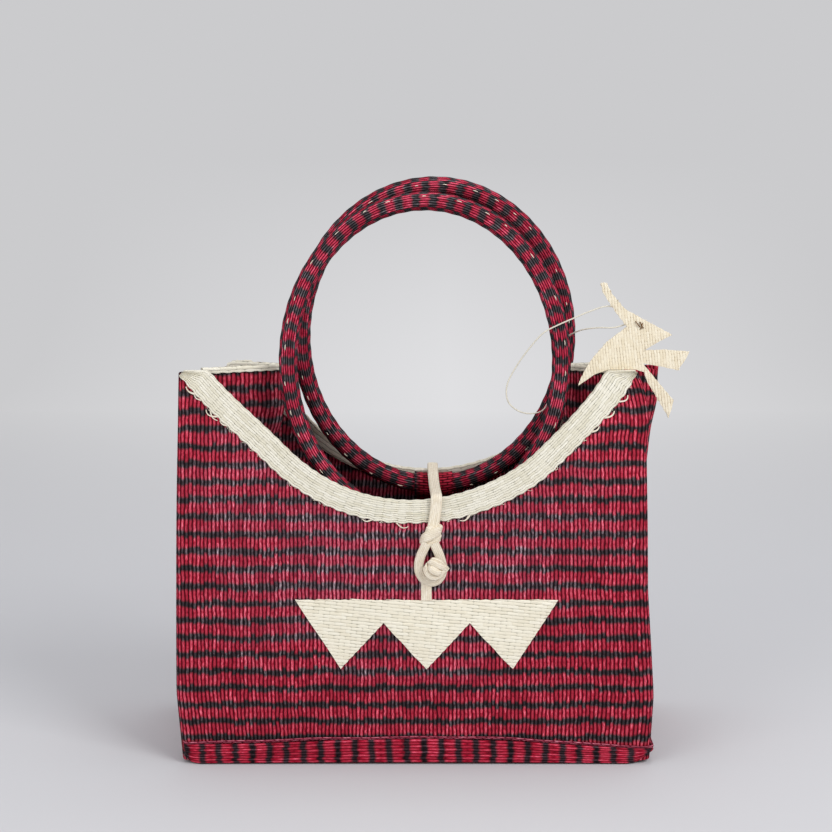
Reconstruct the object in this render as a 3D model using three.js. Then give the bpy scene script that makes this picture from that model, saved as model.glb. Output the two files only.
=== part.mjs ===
// A handwoven fibre handbag with two round handles, a knotted loop closure and a bird charm.
// Millimetres, +Z up. The front faces -Y and the origin is the middle of the base's underside.
import * as THREE from "three";

// The woven body
const WIDTH = 295; // front panel, edge to edge
const HEIGHT = 242; // the panels' top corners above the floor
const BASE_DEPTH = 124; // between the middles of the front and back cloth at the base
const TOP_DEPTH = 61; // the same between the top corners, where the gussets fold in
const SKEW = 16; // how far the soft bag's back leans to the right of its front at the top
const SKEW_FROM = 30; // height of the stiff part, which stands straight
const BULGE = 2.5; // above 1, the panels stay upright low down and lean in towards the top
const CLOTH = 1.8; // thickness of the woven cloth
const GAP = 0.3; // between pieces that touch
const HAIR = 0.05; // added where a facet would eat into that gap
const FOLD_ROUND = 0.1; // rounding of the gusset's crease, as a share of the half depth
const GUSSET_BELOW = 1; // the gusset's top corners lie this far below the panels'
const GUSSET_DIP = 4; // and its crease this much lower still
const ROWS = 10; // the cloth is modelled in this many rows

// The base
const BASE_SHEET = 2;
const BASE_SHEET_CORNER = 1.5;
const BASE_CORNER = 9; // how far the long bands reach round the base's corners
const BAND_HEIGHT = 14.5; // the turned-up band round the base
const BAND_CLOTH = 1.6;
const BAND_CORNER = 3;
const BAND_LIFT = 0.5; // the band's lower edge clears the floor
const PIPING = 1.7; // diameter of the cord sewn along the top of the band
const PIPING_CORNER = 1.2;

// The scooped rims
const SCOOP_RADIUS = 112;
const SCOOP_DEPTH = { front: 78.5, back: 78 }; // from the top corners to the lowest point
const TRIM_WIDTH = 12.8; // the plaited trim on the outside
const TRIM_INSIDE = 8; // what it turns over to the inside
const TRIM_INSIDE_LEAST = 0.5; // what is left of that at the top corners
const TRIM_INSIDE_EASE = 10; // the length over which it narrows
const TRIM_THICK = 1.5;
const GUSSET_TRIM_HEIGHT = 5; // the binding on the folded gusset's top edge
const GUSSET_TRIM_THICK = 1.3;
const GUSSET_TRIM_FROM = 0.75; // share of the half depth that the binding covers

// The ring handles
const RING_WIDTH = 171; // across the tube's middle line
const RING_HEIGHT = 200; // the same from bottom to top
const RING_TUBE = 11.5; // outside diameter of the woven sleeve
const SLEEVE_WALL = 1.1;
const SLEEVE_SLIT = 1; // the seam where the sleeve's edges meet
const CORE_FIT = 0.35; // between the cane hoop and its sleeve
const RING_BELOW_RIM = { front: 14, back: 5.5 }; // from the scoop's lowest point to the tube's middle
const RING_X = { front: 8, back: 14 };
const RING_INSET = 36; // from the bag's middle plane to the tube's middle line at its tab
const RING_MEET = 5.4; // the same at the top, where the two rings lean together

// The tabs that hold the rings
const TAB_WIDTH = 25;
const TAB_CLOTH = 1.2;
const TAB_FIT = 0.5; // lets the ring turn in its tab
const TAB_FOOT = 19; // how far below the tube's middle the sewn end reaches
const TAB_SEWN = 5; // height of the sewn end
const TAB_LAYER = 0.15; // between the tab's two ends
const TAB_TURN = { from: -50, to: 282 }; // degrees round the tube

// The closure
const CLOSURE_X = 12.5;
const STRAP_WIDTH = 7;
const STRAP_THICK = 2.6;
const STRAP_ANCHOR = 13; // length sewn to the back, below the rim
const STRAP_OVER = 4; // how far that end reaches in over the rim
const STRAP_SAG = 0.6;
const STRAP_EASE = { y: 0.4, z: 0.5, back: 2 }; // room for the strap to bend over the rims
const OVERHAND = { belowRim: 22, width: 12, height: 10.5, depth: 8, off: 1.4 };
const BUTTON = { radius: 5.8, depth: 9 };
const LOOP = { length: 23.4, cord: 2.8, inside: 6.7, off: 0.2 };
const LOOP_NECK = { half: 1.9, shoulder: 3.6, drop: 2.8 }; // where its two strands part
const LOOP_SLACK = 2.2; // between the loop's lowest point and the button above it
const STEM_WIDTH = 6.5;
const STEM_THICK = 1.8;
const STEM_LEAN = { foot: -4, rise: 2.5 }; // the foot lies left of the closure's middle

// The applied motif: three hanging triangles cut from plaited fibre
const MOTIF_X = 9;
const MOTIF_TOP = 105;
const MOTIF_WIDTH = 162.5;
const MOTIF_DROP = 43.5; // from the top edge to the tips
const MOTIF_NOTCH = 14.5; // from the top edge to the notches
const MOTIF_PITCH = 53.2; // from tip to tip
const MOTIF_THICK = 1.2;

// The bird charm and its thread
const CHARM_THICK = 1.6;
const CHARM_TIE = { x: 142, z: 271.6 };
const CHARM_BESIDE = 0.6; // between the tail that hangs outside and the front panel's edge
const CHARM_KNOT = 3.2;
const THREAD = 0.9;

const crimson = new THREE.MeshStandardMaterial({ color: 0x9c1a33, roughness: 0.75, metalness: 0 });
const shade = new THREE.MeshStandardMaterial({ color: 0x6d1226, roughness: 0.8, metalness: 0 });
const cream = new THREE.MeshStandardMaterial({ color: 0xe6dcc4, roughness: 0.8, metalness: 0 });
const cane = new THREE.MeshStandardMaterial({ color: 0xb58a55, roughness: 0.6, metalness: 0 });

const bag = new THREE.Group();
const FRONT = -1;
const BACK = 1;
const sideName = (side) => (side === FRONT ? "front" : "back");

// Adds a named mesh to a group.
function add(name, geometry, material, group = bag) {
  const mesh = new THREE.Mesh(geometry, material.clone());
  mesh.name = name;
  group.add(mesh);
  return mesh;
}

// A closed geometry from points and faces, turned inside out if its faces point inwards.
function solid(points, faces) {
  let volume = 0;
  for (const [a, b, c] of faces) {
    volume += points[a].dot(new THREE.Vector3().crossVectors(points[b], points[c]));
  }
  const index = volume < 0 ? faces.map(([a, b, c]) => [a, c, b]) : faces;
  const geometry = new THREE.BufferGeometry().setFromPoints(points);
  geometry.setIndex(index.flat());
  geometry.computeVertexNormals();
  return geometry;
}

// Joins sections, each a ring of as many points, into one closed body. The ends are capped
// after the outline, the section's flat shape, unless the sections themselves go round.
function loft(sections, outline, goesRound = false) {
  const n = sections[0].length;
  const count = sections.length;
  const points = sections.flat();
  const faces = [];
  const last = goesRound ? count : count - 1;
  for (let k = 0; k < last; k += 1) {
    const from = k * n;
    const to = ((k + 1) % count) * n;
    for (let i = 0; i < n; i += 1) {
      const j = (i + 1) % n;
      faces.push([from + i, from + j, to + j], [from + i, to + j, to + i]);
    }
  }
  if (!goesRound) {
    const { isClockWise, triangulateShape } = THREE.ShapeUtils;
    const end = (count - 1) * n;
    for (const [a, b, c] of triangulateShape(outline, [])) {
      const turned = isClockWise([outline[a], outline[b], outline[c]]) !== isClockWise(outline);
      const [p, q] = turned ? [c, b] : [b, c];
      faces.push([a, q, p], [end + a, end + p, end + q]);
    }
  }
  return solid(points, faces);
}

// A sheet between two grids of points, row by row, closed round its edge.
function sheet(outer, inner) {
  const rows = outer.length;
  const columns = outer[0].length;
  const points = [...outer.flat(), ...inner.flat()];
  const half = rows * columns;
  const at = (row, column) => row * columns + column;
  const faces = [];
  const quad = (a, b, c, d) => faces.push([a, b, c], [a, c, d]);
  for (let r = 0; r < rows - 1; r += 1) {
    for (let c = 0; c < columns - 1; c += 1) {
      const [p, q, s, t] = [at(r, c), at(r, c + 1), at(r + 1, c + 1), at(r + 1, c)];
      quad(p, q, s, t);
      quad(half + t, half + s, half + q, half + p);
    }
  }
  const edge = [];
  for (let c = 0; c < columns - 1; c += 1) edge.push(at(0, c));
  for (let r = 0; r < rows - 1; r += 1) edge.push(at(r, columns - 1));
  for (let c = columns - 1; c > 0; c -= 1) edge.push(at(rows - 1, c));
  for (let r = rows - 1; r > 0; r -= 1) edge.push(at(r, 0));
  edge.forEach((a, i) => {
    const b = edge[(i + 1) % edge.length];
    quad(b, a, half + a, half + b);
  });
  return solid(points, faces);
}

// The outline of a flat strip of one thickness along a bent path, both as 2-D points.
function strip(path, thickness) {
  const side = (sign) =>
    path.map((p, i) => {
      const before = path[Math.max(i - 1, 0)];
      const after = path[Math.min(i + 1, path.length - 1)];
      const along = new THREE.Vector2().subVectors(after, before).normalize();
      const normal = new THREE.Vector2(-along.y, along.x);
      return p.clone().addScaledVector(normal, (sign * thickness) / 2);
    });
  return [...side(1), ...side(-1).reverse()];
}

const steps = (count, from, to) =>
  Array.from({ length: count + 1 }, (_, i) => from + ((to - from) * i) / count);

// Half the distance between the front and back cloth at a height.
function halfDepth(z) {
  const lean = (BASE_DEPTH - TOP_DEPTH) / 2;
  return BASE_DEPTH / 2 - lean * Math.pow(Math.max(z, 0) / HEIGHT, BULGE);
}

// How far the leaning bag is moved to the right at a height and depth, above its stiff base.
function skewAt(y, z) {
  const share = (y / halfDepth(z) + 1) / 2;
  const rise = Math.max(z - SKEW_FROM, 0) / (HEIGHT - SKEW_FROM);
  return SKEW * rise * share;
}

// A point of the woven body, with the soft bag's lean.
const place = (x, y, z) => new THREE.Vector3(x + skewAt(y, z), y, z);

const scoopLow = (side) => HEIGHT - SCOOP_DEPTH[sideName(side)];

// Height of the scooped edge: an arc that runs on into straight slopes, up to the corners.
function scoopEdge(x, side) {
  const low = scoopLow(side);
  const turn = SCOOP_RADIUS * Math.SQRT1_2;
  const away = Math.abs(x);
  const rise =
    away < turn
      ? SCOOP_RADIUS - Math.sqrt(SCOOP_RADIUS ** 2 - away ** 2)
      : SCOOP_RADIUS - turn + (away - turn);
  return low + rise;
}

// Where the slope meets the straight top at the corner.
function scoopEnd(side) {
  const turn = SCOOP_RADIUS * Math.SQRT1_2;
  return turn + (HEIGHT - scoopEdge(turn, side));
}

const FLOOR_OF_CLOTH = BASE_SHEET + GAP;

// Front and back panels, woven with their scooped edge.
function panel(side) {
  const end = scoopEnd(side);
  const half = WIDTH / 2;
  const across = [-half, ...steps(30, -end, end), half];
  const up = steps(ROWS, 0, 1);
  const face = (offset) =>
    up.map((t) =>
      across.map((x) => {
        const top = Math.min(scoopEdge(x, side), HEIGHT);
        const z = FLOOR_OF_CLOTH + (top - FLOOR_OF_CLOTH) * t;
        const y = side * (halfDepth(z) + offset);
        return new THREE.Vector3(x + skewAt(side * halfDepth(z), z), y, z);
      }),
    );
  return sheet(face(CLOTH / 2), face(-CLOTH / 2));
}

// How far the gusset's crease is pulled in between the panels at a height.
function creaseInset(z) {
  return Math.sqrt(Math.max((BASE_DEPTH / 2) ** 2 - halfDepth(z) ** 2, 0));
}

// The gusset's middle line in plan at a height, from its front end to its back end.
const GUSSET_STEPS = 8;
const foldRound = (v) => Math.hypot(v, FOLD_ROUND) / Math.hypot(1, FOLD_ROUND);
function gussetPlan(hand, z) {
  const inset = creaseInset(z);
  const slant = inset / (BASE_DEPTH / 2);
  const reach = halfDepth(z) - CLOTH / 2 - GAP - (CLOTH / 2) * slant - HAIR;
  return steps(GUSSET_STEPS, -1, 1).map((v) => {
    const fold = (1 - foldRound(v)) / (1 - foldRound(0));
    const x = hand * (WIDTH / 2 - CLOTH / 2 - inset * fold);
    return place(x, reach * v, z);
  });
}

// Moves a line in plan sideways by a distance.
function offsetPlan(line, distance) {
  return line.map((p, i) => {
    const before = line[Math.max(i - 1, 0)];
    const after = line[Math.min(i + 1, line.length - 1)];
    const along = after.clone().sub(before).setZ(0).normalize();
    return p.clone().add(new THREE.Vector3(along.y, -along.x, 0).multiplyScalar(distance));
  });
}

// The top of the gusset falls a little towards the crease, because it is folded in.
const gussetTop = (v) => HEIGHT - GUSSET_BELOW - GUSSET_DIP * (1 - Math.abs(v));

function gusset(hand) {
  const up = steps(ROWS, 0, 1);
  const vs = steps(GUSSET_STEPS, -1, 1);
  const face = (offset) =>
    up.map((t) =>
      vs.map((v, i) => {
        const z = FLOOR_OF_CLOTH + (gussetTop(v) - FLOOR_OF_CLOTH) * t;
        return offsetPlan(gussetPlan(hand, z), offset)[i];
      }),
    );
  return sheet(face(CLOTH / 2), face(-CLOTH / 2));
}

// The cream binding folded over the gusset's top edge.
function gussetTrim(hand) {
  const near = CLOTH / 2 + 2 * GAP;
  const far = near + GUSSET_TRIM_THICK;
  const [low, rim, top] = [-GUSSET_TRIM_HEIGHT, GAP, GAP + GUSSET_TRIM_THICK];
  const outline = [
    [far, low],
    [near, low],
    [near, rim],
    [-near, rim],
    [-near, low],
    [-far, low],
    [-far, top],
    [far, top],
  ].map(([n, s]) => new THREE.Vector2(n, s));
  const covered = steps(GUSSET_STEPS, -1, 1).map((v, i) => [v, i]);
  const sections = covered
    .filter(([v]) => Math.abs(v) <= GUSSET_TRIM_FROM)
    .map(([v, i]) =>
      outline.map(({ x: n, y: s }) => {
        const line = offsetPlan(gussetPlan(hand, gussetTop(v) + Math.min(s, 0)), n);
        return line[i].setZ(gussetTop(v) + s);
      }),
    );
  return loft(sections, outline);
}

// The plaited trim over a panel's scooped edge: a wide band outside, a lip over the edge and a
// narrow band inside. Its ends are cut off by the panel's top.
function trim(side) {
  const near = CLOTH / 2 + GAP;
  const far = near + TRIM_THICK;
  const turn = SCOOP_RADIUS * Math.SQRT1_2;
  const end = scoopEnd(side);
  const atPanelEdge = WIDTH / 2 - TRIM_WIDTH * Math.SQRT1_2;
  const lastX = Math.min(atPanelEdge, end + (TRIM_WIDTH - 2 * TRIM_THICK) * Math.SQRT1_2);
  const slope = [...steps(3, turn, end), end + 0.7, lastX];
  const bend = steps(22, -turn, turn).slice(1, -1);
  const across = [...slope.map((x) => -x).reverse(), ...bend, ...slope];
  let outline = null;
  const sections = across.map((x) => {
    const away = Math.min(Math.abs(x) / SCOOP_RADIUS, Math.SQRT1_2);
    const down = new THREE.Vector2(Math.sign(x) * away, -Math.sqrt(1 - away * away));
    const edge = new THREE.Vector2(x, scoopEdge(x, side));
    const cut = (rise) => Math.max(-rise, (edge.y - HEIGHT - rise) / -down.y);
    const [top, rim] = [cut(GAP + TRIM_THICK), cut(GAP)];
    const room = THREE.MathUtils.clamp((end - Math.abs(x)) / TRIM_INSIDE_EASE, 0, 1);
    const inside = rim + THREE.MathUtils.lerp(TRIM_INSIDE_LEAST, TRIM_INSIDE, room);
    const section = [
      [TRIM_WIDTH, far],
      [TRIM_WIDTH, near],
      [rim, near],
      [rim, -near],
      [inside, -near],
      [inside, -far],
      [top, -far],
      [top, far],
    ];
    outline = outline ?? section.map(([s, n]) => new THREE.Vector2(s, n));
    return section.map(([s, n]) => {
      const [px, z] = [edge.x + down.x * s, edge.y + down.y * s];
      const h = halfDepth(Math.min(z, HEIGHT));
      return new THREE.Vector3(px + skewAt(side * h, Math.min(z, HEIGHT)), side * (h + n), z);
    });
  });
  return loft(sections, outline);
}

// A rectangle with round corners.
function roundedBox(halfX, halfY, radius) {
  const shape = new THREE.Shape();
  const corner = (cx, cy, from) => shape.absarc(cx, cy, radius, from, from + Math.PI / 2, false);
  corner(halfX - radius, halfY - radius, 0);
  corner(-halfX + radius, halfY - radius, Math.PI / 2);
  corner(-halfX + radius, -halfY + radius, Math.PI);
  corner(halfX - radius, -halfY + radius, -Math.PI / 2);
  shape.closePath();
  return shape;
}

const BASE_HALF_X = WIDTH / 2 + GAP;
const BASE_HALF_Y = BASE_DEPTH / 2 + CLOTH / 2 + GAP;

// The base sheet, flat on the floor.
add(
  "base_panel",
  new THREE.ExtrudeGeometry(roundedBox(BASE_HALF_X - GAP, BASE_HALF_Y - GAP, BASE_SHEET_CORNER), {
    depth: BASE_SHEET,
    bevelEnabled: false,
    curveSegments: 3,
  }),
  shade,
);

for (const side of [FRONT, BACK]) {
  add(`${sideName(side)}_panel`, panel(side), crimson);
  add(`${sideName(side)}_trim`, trim(side), cream);
}
for (const hand of [-1, 1]) {
  const name = hand < 0 ? "left" : "right";
  add(`${name}_gusset`, gusset(hand), crimson);
  add(`${name}_gusset_trim`, gussetTrim(hand), cream);
}

// The turned-up band round the base: long strips with curled ends, and short ones between.
function band(shape, name) {
  const geometry = new THREE.ExtrudeGeometry(shape, {
    depth: BAND_HEIGHT - BAND_LIFT,
    bevelEnabled: false,
    curveSegments: 5,
  });
  add(name, geometry, crimson).position.z = BAND_LIFT;
}

// A long strip: it runs along one long side and turns both corners.
function longBand(side) {
  const [ix, iy] = [BASE_HALF_X, BASE_HALF_Y];
  const [ox, oy] = [ix + BAND_CLOTH, iy + BAND_CLOTH];
  const [turnX, turnY] = [ox - BAND_CORNER, side * (oy - BAND_CORNER)];
  const shape = new THREE.Shape();
  shape.moveTo(-ox, side * (iy - BASE_CORNER));
  shape.lineTo(-ox, turnY);
  shape.quadraticCurveTo(-ox, side * oy, -turnX, side * oy);
  shape.lineTo(turnX, side * oy);
  shape.quadraticCurveTo(ox, side * oy, ox, turnY);
  shape.lineTo(ox, side * (iy - BASE_CORNER));
  shape.lineTo(ix, side * (iy - BASE_CORNER));
  shape.lineTo(ix, side * iy);
  shape.lineTo(-ix, side * iy);
  shape.lineTo(-ix, side * (iy - BASE_CORNER));
  shape.closePath();
  return shape;
}

function shortBand(hand) {
  const reach = BASE_HALF_Y - BASE_CORNER - GAP;
  const [near, far] = [hand * BASE_HALF_X, hand * (BASE_HALF_X + BAND_CLOTH)];
  const shape = new THREE.Shape();
  shape.moveTo(near, -reach);
  shape.lineTo(far, -reach);
  shape.lineTo(far, reach);
  shape.lineTo(near, reach);
  shape.closePath();
  return shape;
}

band(longBand(FRONT), "base_band_front");
band(longBand(BACK), "base_band_back");
band(shortBand(-1), "base_band_left");
band(shortBand(1), "base_band_right");

// The piping: a thin cord sewn round the bag on top of the band.
function piping() {
  const r = PIPING / 2;
  const z = BAND_HEIGHT + GAP + r;
  const path = roundedBox(BASE_HALF_X + r, BASE_HALF_Y + r, PIPING_CORNER);
  const line = path.getPoints(4).slice(0, -1);
  const sides = steps(7, 0, (Math.PI * 14) / 8);
  const sections = line.map((p, i) => {
    const before = line[(i + line.length - 1) % line.length];
    const after = line[(i + 1) % line.length];
    const along = new THREE.Vector2().subVectors(after, before).normalize();
    return sides.map((a) => {
      const out = r * Math.cos(a);
      return new THREE.Vector3(p.x + along.y * out, p.y - along.x * out, z + r * Math.sin(a));
    });
  });
  return loft(sections, [], true);
}
add("base_piping", piping(), crimson);

// A ring handle in its own plane, its bottom at the group's origin: a cane hoop in a woven
// sleeve whose two edges meet along the inside of the ring.
const RING_STEPS = 48;

function ringSections(profile) {
  return steps(RING_STEPS - 1, 0, 2 * Math.PI * (1 - 1 / RING_STEPS)).map((t) => {
    const centre = new THREE.Vector3(
      (RING_WIDTH / 2) * Math.sin(t),
      0,
      (RING_HEIGHT / 2) * (1 - Math.cos(t)),
    );
    const outward = new THREE.Vector3(
      (RING_HEIGHT / 2) * Math.sin(t),
      0,
      (-RING_WIDTH / 2) * Math.cos(t),
    ).normalize();
    return profile.map((p) => centre.clone().addScaledVector(outward, p.x).setY(p.y));
  });
}

function arc(radius, from, to, count) {
  return steps(count, from, to).map(
    (a) => new THREE.Vector2(radius * Math.cos(a), radius * Math.sin(a)),
  );
}

function sleeve() {
  const outer = RING_TUBE / 2;
  const inner = outer - SLEEVE_WALL;
  const half = SLEEVE_SLIT / 2 / outer;
  const open = Math.PI - half;
  return loft(ringSections([...arc(outer, -open, open, 11), ...arc(inner, open, -open, 9)]), [], true);
}

function hoop() {
  const radius = RING_TUBE / 2 - SLEEVE_WALL - CORE_FIT;
  return loft(ringSections(arc(radius, 0, Math.PI * 1.75, 7)), [], true);
}

// The plain tilt that brings the two rings together at the top.
const RING_TILT = Math.asin((RING_INSET - RING_MEET) / RING_HEIGHT);

// Height of a ring's middle line at its tab.
const ringLow = (side) => scoopLow(side) - RING_BELOW_RIM[sideName(side)];

for (const side of [FRONT, BACK]) {
  const name = sideName(side);
  const ring = new THREE.Group();
  ring.position.set(RING_X[name], side * RING_INSET, ringLow(side));
  ring.rotation.x = side * RING_TILT;
  bag.add(ring);
  add(`${name}_ring_sleeve`, sleeve(), crimson, ring);
  add(`${name}_ring_hoop`, hoop(), cane, ring);
}

// A woven tab: it goes round the bottom of the ring, and both its ends are sewn to the inside
// of the panel below the trim.
function tab(side) {
  const name = sideName(side);
  const low = ringLow(side);
  const radius = RING_TUBE / 2 + TAB_FIT + TAB_CLOTH / 2;
  const onCloth = (z, layer) => {
    const face = halfDepth(z) - CLOTH / 2 - GAP - TAB_CLOTH / 2;
    return new THREE.Vector2(face - layer * (TAB_CLOTH + TAB_LAYER), z);
  };
  const heights = [low - TAB_FOOT, low - TAB_FOOT + TAB_SEWN];
  const { degToRad } = THREE.MathUtils;
  const round = arc(radius, degToRad(TAB_TURN.from), degToRad(TAB_TURN.to), 14);
  const sections = steps(6, -TAB_WIDTH / 2, TAB_WIDTH / 2).map((x) => {
    const rise = (RING_HEIGHT / 2) * (1 - Math.sqrt(1 - (x / (RING_WIDTH / 2)) ** 2));
    const centre = new THREE.Vector2(
      RING_INSET - rise * Math.sin(RING_TILT),
      low + rise * Math.cos(RING_TILT),
    );
    const path = [
      ...heights.map((z) => onCloth(z, 0)),
      ...round.map((p) => p.clone().add(centre)),
      ...heights.toReversed().map((z) => onCloth(z, 1)),
    ];
    return { x, outline: strip(path, TAB_CLOTH) };
  });
  return loft(
    sections.map(({ x, outline }) =>
      outline.map((p) => new THREE.Vector3(x + RING_X[name], side * p.x, p.y)),
    ),
    sections[0].outline,
  );
}
add("front_ring_tab", tab(FRONT), shade);
add("back_ring_tab", tab(BACK), shade);

// The outer face of the front cloth or trim, as a distance from the middle plane.
const clothFace = (z) => halfDepth(z) + CLOTH / 2;
const trimFace = (z) => clothFace(z) + GAP + TRIM_THICK;

// Heights of the closure's pieces, one hanging from the next.
const overhandZ = scoopLow(FRONT) - OVERHAND.belowRim;
const loopTop = overhandZ - OVERHAND.height / 2 - LOOP.cord / 2 - HAIR;
const loopLow = loopTop - LOOP.length;
const buttonZ = loopLow + LOOP.cord + LOOP_SLACK + BUTTON.radius;

// The strap's middle line where it lies on the two rims. The rims rise a little under it.
const rimUnderStrap = (side) =>
  scoopEdge(CLOSURE_X + STRAP_WIDTH / 2, side) + TRIM_THICK + 2 * GAP + STRAP_THICK / 2;
const STRAP_BEND = {
  y: -(trimFace(scoopLow(FRONT)) + GAP + STRAP_THICK / 2 + STRAP_EASE.y),
  z: rimUnderStrap(FRONT) + STRAP_EASE.z,
};
const STRAP_BACK = {
  y: trimFace(scoopLow(BACK)) + GAP + STRAP_THICK / 2,
  z: rimUnderStrap(BACK) + STRAP_EASE.back,
};

function flatStrap(path, width) {
  const outline = strip(
    path.map(([y, z]) => new THREE.Vector2(y, z)),
    STRAP_THICK,
  );
  const sections = [-width / 2, width / 2].map((x) =>
    outline.map((p) => new THREE.Vector3(CLOSURE_X + x, p.x, p.y)),
  );
  return loft(sections, outline);
}

// The end sewn to the outside of the back trim, rounded over the rim.
const STRAP_HALF = STRAP_THICK / 2;
const backFace = (z) => trimFace(Math.min(z, scoopLow(BACK))) + GAP + STRAP_HALF;
add(
  "strap_anchor",
  flatStrap(
    [
      [backFace(STRAP_BACK.z - STRAP_ANCHOR), STRAP_BACK.z - STRAP_ANCHOR],
      [backFace(STRAP_BACK.z - STRAP_OVER), STRAP_BACK.z - STRAP_OVER],
      [STRAP_BACK.y - 0.6, STRAP_BACK.z - 1.5],
      [STRAP_BACK.y - 2.2, STRAP_BACK.z],
      [STRAP_BACK.y - STRAP_OVER, STRAP_BACK.z],
    ],
    STRAP_WIDTH,
  ),
  cream,
);

// The stretch across the mouth, which sags a little.
function bridge() {
  const { lerp } = THREE.MathUtils;
  const from = STRAP_BACK.y - STRAP_OVER - GAP - STRAP_HALF;
  const to = STRAP_BEND.y + STRAP_HALF + GAP;
  const path = steps(8, 0, 1).map((t) => [
    lerp(from, to, t),
    lerp(STRAP_BACK.z, STRAP_BEND.z, t) - STRAP_SAG * 4 * t * (1 - t),
  ]);
  return flatStrap(path, STRAP_WIDTH);
}
add("strap_bridge", bridge(), cream);

// The tail that hangs down the front, with a round top that turns in the bend.
function tail() {
  const top = overhandZ + OVERHAND.height / 2 + GAP;
  const middle = (STRAP_BEND.z + top) / 2;
  const frontFace = (z) => -(trimFace(z) + GAP + STRAP_HALF);
  return flatStrap(
    [
      [STRAP_BEND.y, STRAP_BEND.z + STRAP_HALF / 2],
      [STRAP_BEND.y, STRAP_BEND.z - STRAP_HALF],
      [frontFace(middle) - 0.3, middle],
      [frontFace(top), top],
    ],
    STRAP_WIDTH - 0.4,
  );
}
add("strap_tail", tail(), cream);

// A squat round knot with pulled-in ends, turned on the lathe and flattened front to back.
function knot(width, height, depth) {
  const profile = steps(8, -Math.PI / 2, Math.PI / 2).map((a) => {
    const radius = (width / 2) * Math.pow(Math.max(Math.cos(a), 0), 0.7);
    return new THREE.Vector2(radius, (height / 2) * Math.sin(a));
  });
  profile[0].x = 0;
  profile[profile.length - 1].x = 0;
  const geometry = new THREE.LatheGeometry(profile, 14);
  geometry.rotateX(Math.PI / 2);
  geometry.scale(1, depth / width, 1);
  return geometry;
}

const overhandY = -(clothFace(overhandZ) + GAP + OVERHAND.depth / 2 + OVERHAND.off);
add("loop_knot", knot(OVERHAND.width, OVERHAND.height, OVERHAND.depth), cream).position.set(
  CLOSURE_X,
  overhandY,
  overhandZ,
);

// The stem: flat cord from under the motif up behind the button knot.
const stemFace = (z) => clothFace(z) + GAP;
function stem() {
  const low = MOTIF_TOP + GAP;
  const high = buttonZ - 1;
  const outline = strip(
    steps(4, low, high).map((z) => new THREE.Vector2(-(stemFace(z) + STEM_THICK / 2), z)),
    STEM_THICK,
  );
  const sections = [-STEM_WIDTH / 2, STEM_WIDTH / 2].map((x) =>
    outline.map((p) => {
      const lean = STEM_LEAN.foot + (STEM_LEAN.rise * (p.y - low)) / (high - low);
      return new THREE.Vector3(CLOSURE_X + lean + x, p.x, p.y);
    }),
  );
  return loft(sections, outline);
}
add("button_stem", stem(), cream);

const buttonY = -(stemFace(buttonZ) + STEM_THICK + GAP + BUTTON.depth / 2);
add("button_knot", knot(2 * BUTTON.radius, 2 * BUTTON.radius, BUTTON.depth), cream).position.set(
  CLOSURE_X,
  buttonY,
  buttonZ,
);

// The closing loop: from the overhand knot down both sides of the button and round below it.
function closingLoop() {
  const c = LOOP.cord / 2;
  const wide = LOOP.inside + c;
  const low = loopLow + c;
  const { half, shoulder, drop } = LOOP_NECK;
  const depthAt = (z) => -(stemFace(z) + STEM_THICK + GAP + c + LOOP.off);
  const at = (x, z) => new THREE.Vector3(CLOSURE_X + x, depthAt(z), z);
  const path = new THREE.CatmullRomCurve3([
    at(-half, loopTop),
    at(-shoulder, loopTop - drop),
    at(-wide + 0.8, buttonZ + 4.6),
    at(-wide, buttonZ - 0.5),
    at(-wide * 0.72, low + 2.6),
    at(0, low),
    at(wide * 0.72, low + 2.6),
    at(wide, buttonZ - 0.5),
    at(wide - 0.8, buttonZ + 4.6),
    at(shoulder, loopTop - drop),
    at(half, loopTop),
  ]);
  const section = new THREE.Shape(arc(c, 0, Math.PI * 1.75, 7));
  return new THREE.ExtrudeGeometry(section, { steps: 30, extrudePath: path });
}
add("closing_loop", closingLoop(), cream);

// The motif, sewn flat on the front.
function motif() {
  const half = MOTIF_WIDTH / 2;
  const points = [
    [-half, 0],
    [-MOTIF_PITCH, -MOTIF_DROP],
    [-MOTIF_PITCH / 2, -MOTIF_NOTCH],
    [0, -MOTIF_DROP],
    [MOTIF_PITCH / 2, -MOTIF_NOTCH],
    [MOTIF_PITCH, -MOTIF_DROP],
    [half, 0],
  ].map(([x, z]) => new THREE.Vector2(x, z));
  const geometry = new THREE.ExtrudeGeometry(new THREE.Shape(points), {
    depth: MOTIF_THICK,
    bevelEnabled: false,
  });
  const at = geometry.getAttribute("position");
  for (let i = 0; i < at.count; i += 1) {
    const z = MOTIF_TOP + at.getY(i);
    const y = -(clothFace(z) + GAP + 0.15 + at.getZ(i));
    at.setXYZ(i, MOTIF_X + at.getX(i), y, z);
  }
  return geometry;
}
add("front_motif", motif(), cream);

// The bird charm, cut from plaited fibre. It sits over the right front corner: one wing lies
// inside the bag and one tail feather hangs outside, just behind the front panel.
const CORNER_X = WIDTH / 2 + CHARM_BESIDE;
const CHARM_REST = HEIGHT + 2 * GAP + TRIM_THICK;
const charmOutline = [
  [116.6, 297.6],
  [120.4, 298.4],
  [123.6, 292.5],
  [131.6, 283.8],
  [144, 276.3],
  [162, 265.6],
  [144.2, 255.6],
  [173, 255.4],
  [166, 243],
  [145.5, 247.7],
  [149.6, 243.9],
  [164.4, 225],
  [160, 213.6],
  [152.6, 226.5],
  [CORNER_X, 235],
  [CORNER_X, CHARM_REST],
  [122.6, CHARM_REST],
  [103.2, 233.9],
  [107.3, 243.5],
  [113.3, 253.2],
  [121.5, 262.5],
  [133.1, 271],
  [123, 284.2],
].map(([x, z]) => new THREE.Vector2(x, z));
const charmBack = -(halfDepth(HEIGHT) - CLOTH / 2 - GAP - 0.3);

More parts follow.
